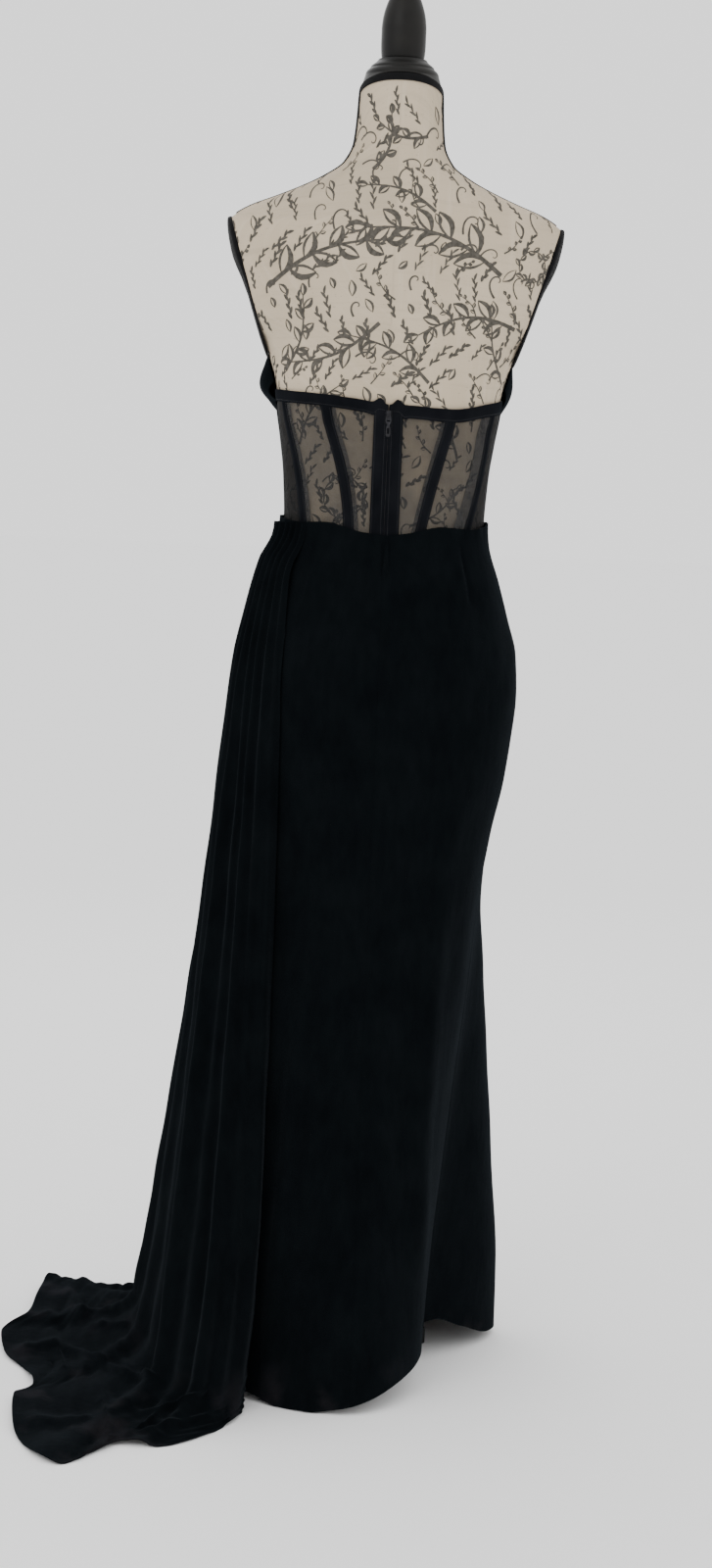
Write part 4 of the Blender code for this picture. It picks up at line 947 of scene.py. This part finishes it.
def make_teeth():
    """Coil of the closed zip in the groove between the bands."""
    heights = np.arange(1.014, 1.1505, 0.0011)
    verts, faces = [], []
    for number, height in enumerate(heights):
        centre = on_form(np.zeros(1), np.full(1, height), np.full(1, 2.1 * MM))[0]
        side = 1 if number % 2 else -1
        for y in (-0.45 * MM, 0.25 * MM):
            for x, z in ((-0.15, -0.36), (0.75, -0.30), (0.75, 0.30), (-0.15, 0.36)):
                verts.append((side * x * MM, centre[1] + y, height + z * MM))
        k = 8 * number
        faces.append((k + 4, k + 5, k + 6, k + 7))
        faces += [(k + i, k + (i + 1) % 4, k + 4 + (i + 1) % 4, k + 4 + i) for i in range(4)]
    piece("zip_coil", verts, faces, "thread")


def arc(first, last, count, side):
    """Plan angles of one side, in the order that a surface needs."""
    angles = np.linspace(first, last, count) * side
    return angles[::-1] if side > 0 else angles


def make_top_band():
    rows = []
    for side, hand in HANDS:
        angles = arc(0.25, CUP_EDGE_ANGLE - 0.8, 150, side)
        share = shares(13)
        away = np.abs(angles)
        lap = 1.5 + 3.6 * smooth((away - 8.0) / 5.0) + 1.6 * bell(away - 12.4, 2.2)
        low, high = BAND.at("low", angles) * CM - lap * MM, BAND.at("top", angles) * CM
        length = np.radians(angles) * 0.12
        high = high + 0.5 * MM * ripple(length * 2.2, 0.0, 21)
        heights = blend(low[None, :], high[None, :], share[:, None])
        proud = BAND_PROUD + 0.9 * MM * np.sin(math.pi * share[:, None]) ** 0.6
        proud = proud + 0.25 * MM * ripple(length[None, :] * 3, share[:, None] * 0.02, 22)
        grid = on_form(np.broadcast_to(angles[None, :], heights.shape), heights, proud)
        surface(f"edge_band_{hand}", grid, "trim", 1.4 * MM, nodes=(f"top_band_{hand}",))
        ways = ways_out(grid)
        rows += [(grid[2] + ways[2] * 0.1 * MM, ways[2])]
    stitches("band_stitches", rows)


def make_cups():
    for side, hand in HANDS:
        angles = arc(CUP_EDGE_ANGLE, 179.85, 170, side)
        share = shares(50)[:, None]
        away = np.abs(angles)[None, :]
        heights = blend(CUP.at("low", away) * CM, CUP.at("high", away) * CM, share)
        fullness = np.where((side > 0) | (away > 120), 1.0, 0.45)
        swell = np.sin(math.pi * np.clip(share, 0, 1)) ** 0.8
        gathers = np.sin(away * 0.62 + 2.0 * np.sin(away * 0.11))
        gathers = gathers * np.sin(math.pi * share) * 0.9 * MM
        proud = CUP_PROUD + fullness * CUP.at("bulge", away) * CM * swell + gathers
        grid = on_form(np.broadcast_to(angles[None, :], heights.shape), heights, proud)
        thing = surface(f"velvet_cup_{hand}", grid, "velvet", 1.6 * MM, nodes=(f"cup_{hand}",))


# Skirt and drape

def skirt_radius(angle, height):
    angle = np.asarray(angle, float)
    half = np.where(angle >= 0, SKIRT.at("left", height), SKIRT.at("right", height))
    behind = np.cos(np.radians(angle)) >= 0
    depth = np.where(behind, SKIRT.at("back", height), SKIRT.at("front", height))
    radius = oval(angle, half, depth, SKIRT.at("power", height))
    away = angle - VALLEY_ANGLE
    reach = np.clip(away / np.where(away > 0, VALLEY_TO_BACK, VALLEY_TO_FRONT), -1, 1)
    valley = (0.5 + 0.5 * np.cos(math.pi * reach)) ** VALLEY_FLATNESS
    radius = radius * (1 - SKIRT.at("valley", height) * valley)
    return (radius + SKIRT.at("corner", height) * bell(angle - CORNER_ANGLE, CORNER_SPREAD)) * CM


def crease_field(u, v, rows, scale):
    """Lift of the cloth at lengths u and v in metres; scale turns a row's points into lengths."""
    total = np.zeros(u.shape)
    t = shares(13)
    for a0, h0, a1, h1, a2, h2, depth, width in rows:
        mid = np.array((2 * a1 - (a0 + a2) / 2, 2 * h1 - (h0 + h2) / 2))
        curve = scale(np.outer((1 - t) ** 2, (a0, h0)) + np.outer(2 * t * (1 - t), mid)
                      + np.outer(t ** 2, (a2, h2)))
        best = np.full(u.shape, 1e9)
        spot = np.zeros(u.shape)
        for k in range(len(t) - 1):
            p, q = curve[k], curve[k + 1]
            d = q - p
            s = np.clip(((u - p[0]) * d[0] + (v - p[1]) * d[1]) / (d @ d), 0, 1)
            far = np.hypot(u - p[0] - s * d[0], v - p[1] - s * d[1])
            near = far < best
            best = np.where(near, far, best)
            spot = np.where(near, (k + s) / (len(t) - 1), spot)
        ends = smooth(spot / 0.3) * smooth((1 - spot) / 0.15)
        total += depth * MM * bell(best, width * MM) * ends
    return total


def round_skirt(points):
    """Lengths round and up the skirt of points given as plan angle and height."""
    return points * (GIRTH_PER_DEGREE, CM)


def make_skirt():
    panels = (("back_left", 0.0, LEFT_SEAM, 150, 0.34), ("back_right", RIGHT_SEAM, 0.0, 140, 0.28),
              ("front", LEFT_SEAM - 360.0, RIGHT_SEAM, 230, 0.62))
    share = shares(170)[:, None]
    for name, first, last, across, width in panels:
        line = np.linspace(last + SEAM_LAP, first - SEAM_LAP, across)[None, :]
        turn = wrapped(line)
        heights = blend(HEM.at("height", turn), SKIRT_TOP.at("height", turn), share) * CM
        turn = np.broadcast_to(turn, heights.shape)
        bare = plan(turn) * skirt_radius(turn, heights)[..., None]
        bare[..., 2] = heights
        girth = turn * GIRTH_PER_DEGREE
        lift = crease_field(girth, heights, SKIRT_CREASES, round_skirt)
        lift = lift + 0.9 * MM * ripple(girth * 1.4, heights * 0.5, 5) * smooth((1.0 - share) / 0.1)
        reach = np.maximum(np.minimum(line - first, last - line), 0.0)
        seam = np.radians(reach) * skirt_radius(turn, heights)
        lift = lift * smooth(seam / 0.02) - 1.0 * MM * np.exp(-seam / 0.0018)
        lift = lift + crease_field(girth, heights, SKIRT_PUCKERS, round_skirt)
        top = smooth((share - 0.985) / 0.015)
        lift = lift * (1 - top) + top * 0.5 * MM * np.sin(turn * 0.7)
        points = bare + ways_out(bare) * lift[..., None]
        points[..., 2] = np.maximum(points[..., 2], FLOOR_CLEAR + VELVET_THICKNESS * 0.6)
        thing = surface(f"velvet_{name}", points, "velvet", VELVET_THICKNESS,
                        nodes=(f"skirt_{name}",), above_floor=True)


def drape_base(share, height):
    corners = [(DRAPE.at(name + "_x", height), DRAPE.at(name + "_y", height))
               for name in ("edge", "back", "side", "front")]
    s = share
    weights = ((1 - s) * (2 - 3 * s) * (1 - 3 * s) / 2, 9 * s * (1 - s) * (2 - 3 * s) / 2,
               9 * s * (1 - s) * (3 * s - 1) / 2, s * (3 * s - 1) * (3 * s - 2) / 2)
    x = sum(w * c[0] for w, c in zip(weights, corners)) * CM
    y = sum(w * c[1] for w, c in zip(weights, corners)) * CM
    angle = np.degrees(np.arctan2(x, y))
    skirt = skirt_radius(angle, height)
    low, high = DRAPE_SEAT_HEIGHTS
    reach = blend(np.maximum(np.hypot(x, y), skirt + DRAPE_CLEAR), skirt + DRAPE_SEAT,
                  np.clip((height - low) / (high - low), 0, 1))
    point = plan(angle) * reach[..., None]
    point[..., 2] = height
    return point


def train_base(share, run):
    start = drape_base(share, np.full_like(share, DRAPE_FOOT))
    rim = stack(TRAIN.at("x", share) * CM, TRAIN.at("y", share) * CM,
                    TRAIN_REST + TRAIN.at("lift", share) * CM)
    out = (rim - start) * (1.0, 1.0, 0.0)
    length = np.linalg.norm(out, axis=-1, keepdims=True)
    bend = start + out / length * np.minimum(TURN_OUT, length * 0.5)
    bend[..., 2] = TRAIN_REST
    run = run[..., None]
    return start * (1 - run) ** 2 + bend * (2 * run * (1 - run)) + rim * run ** 2


def pleat_wave(share, fall):
    edges = blend(PLEATS[:, 0], PLEATS[:, 1], fall)
    i = np.clip(np.searchsorted(edges, share, side="right") - 1, 0, len(edges) - 2)
    t = np.clip((share - edges[i]) / (edges[i + 1] - edges[i]), 0, 1)
    depth = blend(PLEATS[i, 2], PLEATS[i, 3], fall ** 1.5) * MM
    return depth * np.sin(math.pi * t ** blend(1.9, 1.0, fall ** 0.5)) ** 2


def make_drape():
    across, up, train = 280, 116, 58
    share = np.linspace(1.0, 0.0, across)
    rows, lifts, runs = [], [], []
    for j in range(train):
        rows.append(train_base(share, np.full_like(share, 1 - j / train)))
        lifts.append(pleat_wave(share, 1.0) * blend(0.35, 1.0, j / train))
        runs.append(TRAIN_RUN * j / train)
    for height in np.linspace(DRAPE_FOOT, DRAPE_TOP, up):
        fall = 1 - (height - DRAPE_FOOT) / (DRAPE_TOP - DRAPE_FOOT)
        rows.append(drape_base(share, np.full_like(share, height)))
        lifts.append(pleat_wave(share, fall))
        runs.append(blend(TRAIN_RUN, 1.0, 1 - fall))
    base, lift = np.array(rows), np.array(lifts)
    run = np.repeat(np.array(runs)[:, None], across, axis=1)
    width = lengths(base, 1)[:, -1:]
    u, v = share[None, :] * width, run * DRAPE_LENGTH

    def over_drape(points):
        x, y = points.T / 100
        return stack(x * np.interp(y, runs, width[:, 0]), y * DRAPE_LENGTH)

    lift = lift + crease_field(u, v, DRAPE_CREASES, over_drape)
    lift = lift - 1.7 * MM * np.exp(-u / 0.004) * smooth((run - TRAIN_RUN) / 0.1)
    lift = lift + 1.4 * MM * ripple(u * 1.2, v, 9) * smooth((1 - run) / 0.08)
    lift = lift + 2.2 * MM * ripple(u * 1.7, v * 1.7, 14) * smooth((0.34 - run) / 0.20)
    points = base + ways_out(base) * lift[..., None]
    points[..., 2] = np.maximum(points[..., 2], FLOOR_CLEAR + VELVET_THICKNESS * 0.9)
    thing = surface("velvet_drape", points, "velvet", VELVET_THICKNESS, nodes=("side_drape",),
                    above_floor=True)


# Stand, floor, light and camera

def dress_nodes():
    finishes = {"stand_hub": "black_wood", "stand_pole": "pole", "zip_slider": "zip_metal",
                "zip_pull": "zip_metal"}
    for name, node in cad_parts.items():
        finish = finishes.get(name, "black_wood" if name.startswith("stand_leg") else None)
        if finish:
            node.data.materials.clear()
            node.data.materials.append(MATERIALS[finish])


def make_floor():
    s = Shader("pale_floor", (0.9, 0.9, 0.9), 0.8)
    cloud = s.noise(3.0, 3.0)
    s.colour(s.mix(cloud, (0.975, 0.975, 0.975), (0.99, 0.99, 0.99)))
    mesh = bpy.data.meshes.new("floor")
    half = 40.0
    corners = [(x * half, y * half, 0) for x, y in ((-1, -1), (1, -1), (1, 1), (-1, 1))]
    mesh.from_pydata(corners, [], [(0, 1, 2, 3)])
    mesh.materials.append(s.material)
    floor = into_scene("floor", mesh)


def add_light(name, spot, target, size, power):
    data = bpy.data.lights.new(name, "AREA")
    data.energy = power
    data.size = size
    thing = into_scene(name, data)
    thing.location = spot
    thing.rotation_mode = "QUATERNION"
    thing.rotation_quaternion = (Vector(target) - Vector(spot)).to_track_quat("-Z", "Y")


def make_lights():
    world = bpy.data.worlds.new("studio")
    world.use_nodes = True
    background = world.node_tree.nodes["Background"]
    background.inputs["Color"].default_value = (1.0, 1.0, 1.0, 1.0)
    background.inputs["Strength"].default_value = 1.5
    bpy.context.scene.world = world
    add_light("key", (1.6, 2.6, 2.9), (0.0, 0.0, 0.9), 1.8, 22.0)
    add_light("fill", (-2.2, 2.0, 1.6), (0.0, 0.0, 0.7), 2.0, 2.0)
    add_light("front", (0.4, -2.8, 2.4), (0.0, 0.0, 0.9), 2.0, 10.0)


def make_camera():
    pitch, roll = math.radians(6.3), math.radians(2.32)
    level = Vector((-1.0, 0.0, 0.0))
    ahead = Vector((0.0, -math.cos(pitch), -math.sin(pitch)))
    upright = level.cross(ahead)
    right = level * math.cos(roll) + upright * math.sin(roll)
    up = upright * math.cos(roll) - level * math.sin(roll)
    data = bpy.data.cameras.new("camera")
    data.sensor_width = 36.0
    data.lens = 63.0
    camera = into_scene("camera", data)
    turn = Matrix((right, up, -ahead)).transposed().to_4x4()
    camera.matrix_world = Matrix.Translation((0.0206, 3.30, 1.08)) @ turn
    bpy.context.scene.camera = camera


make_camera()
make_torso()
make_arm_plates()
make_tapes()
make_cap_and_finial()
make_print()
make_panels()
make_allowances_and_painted_shade()
make_casings()
make_zip_bands()
make_top_band()
make_cups()
make_skirt()
make_drape()
dress_nodes()
make_floor()
make_lights()
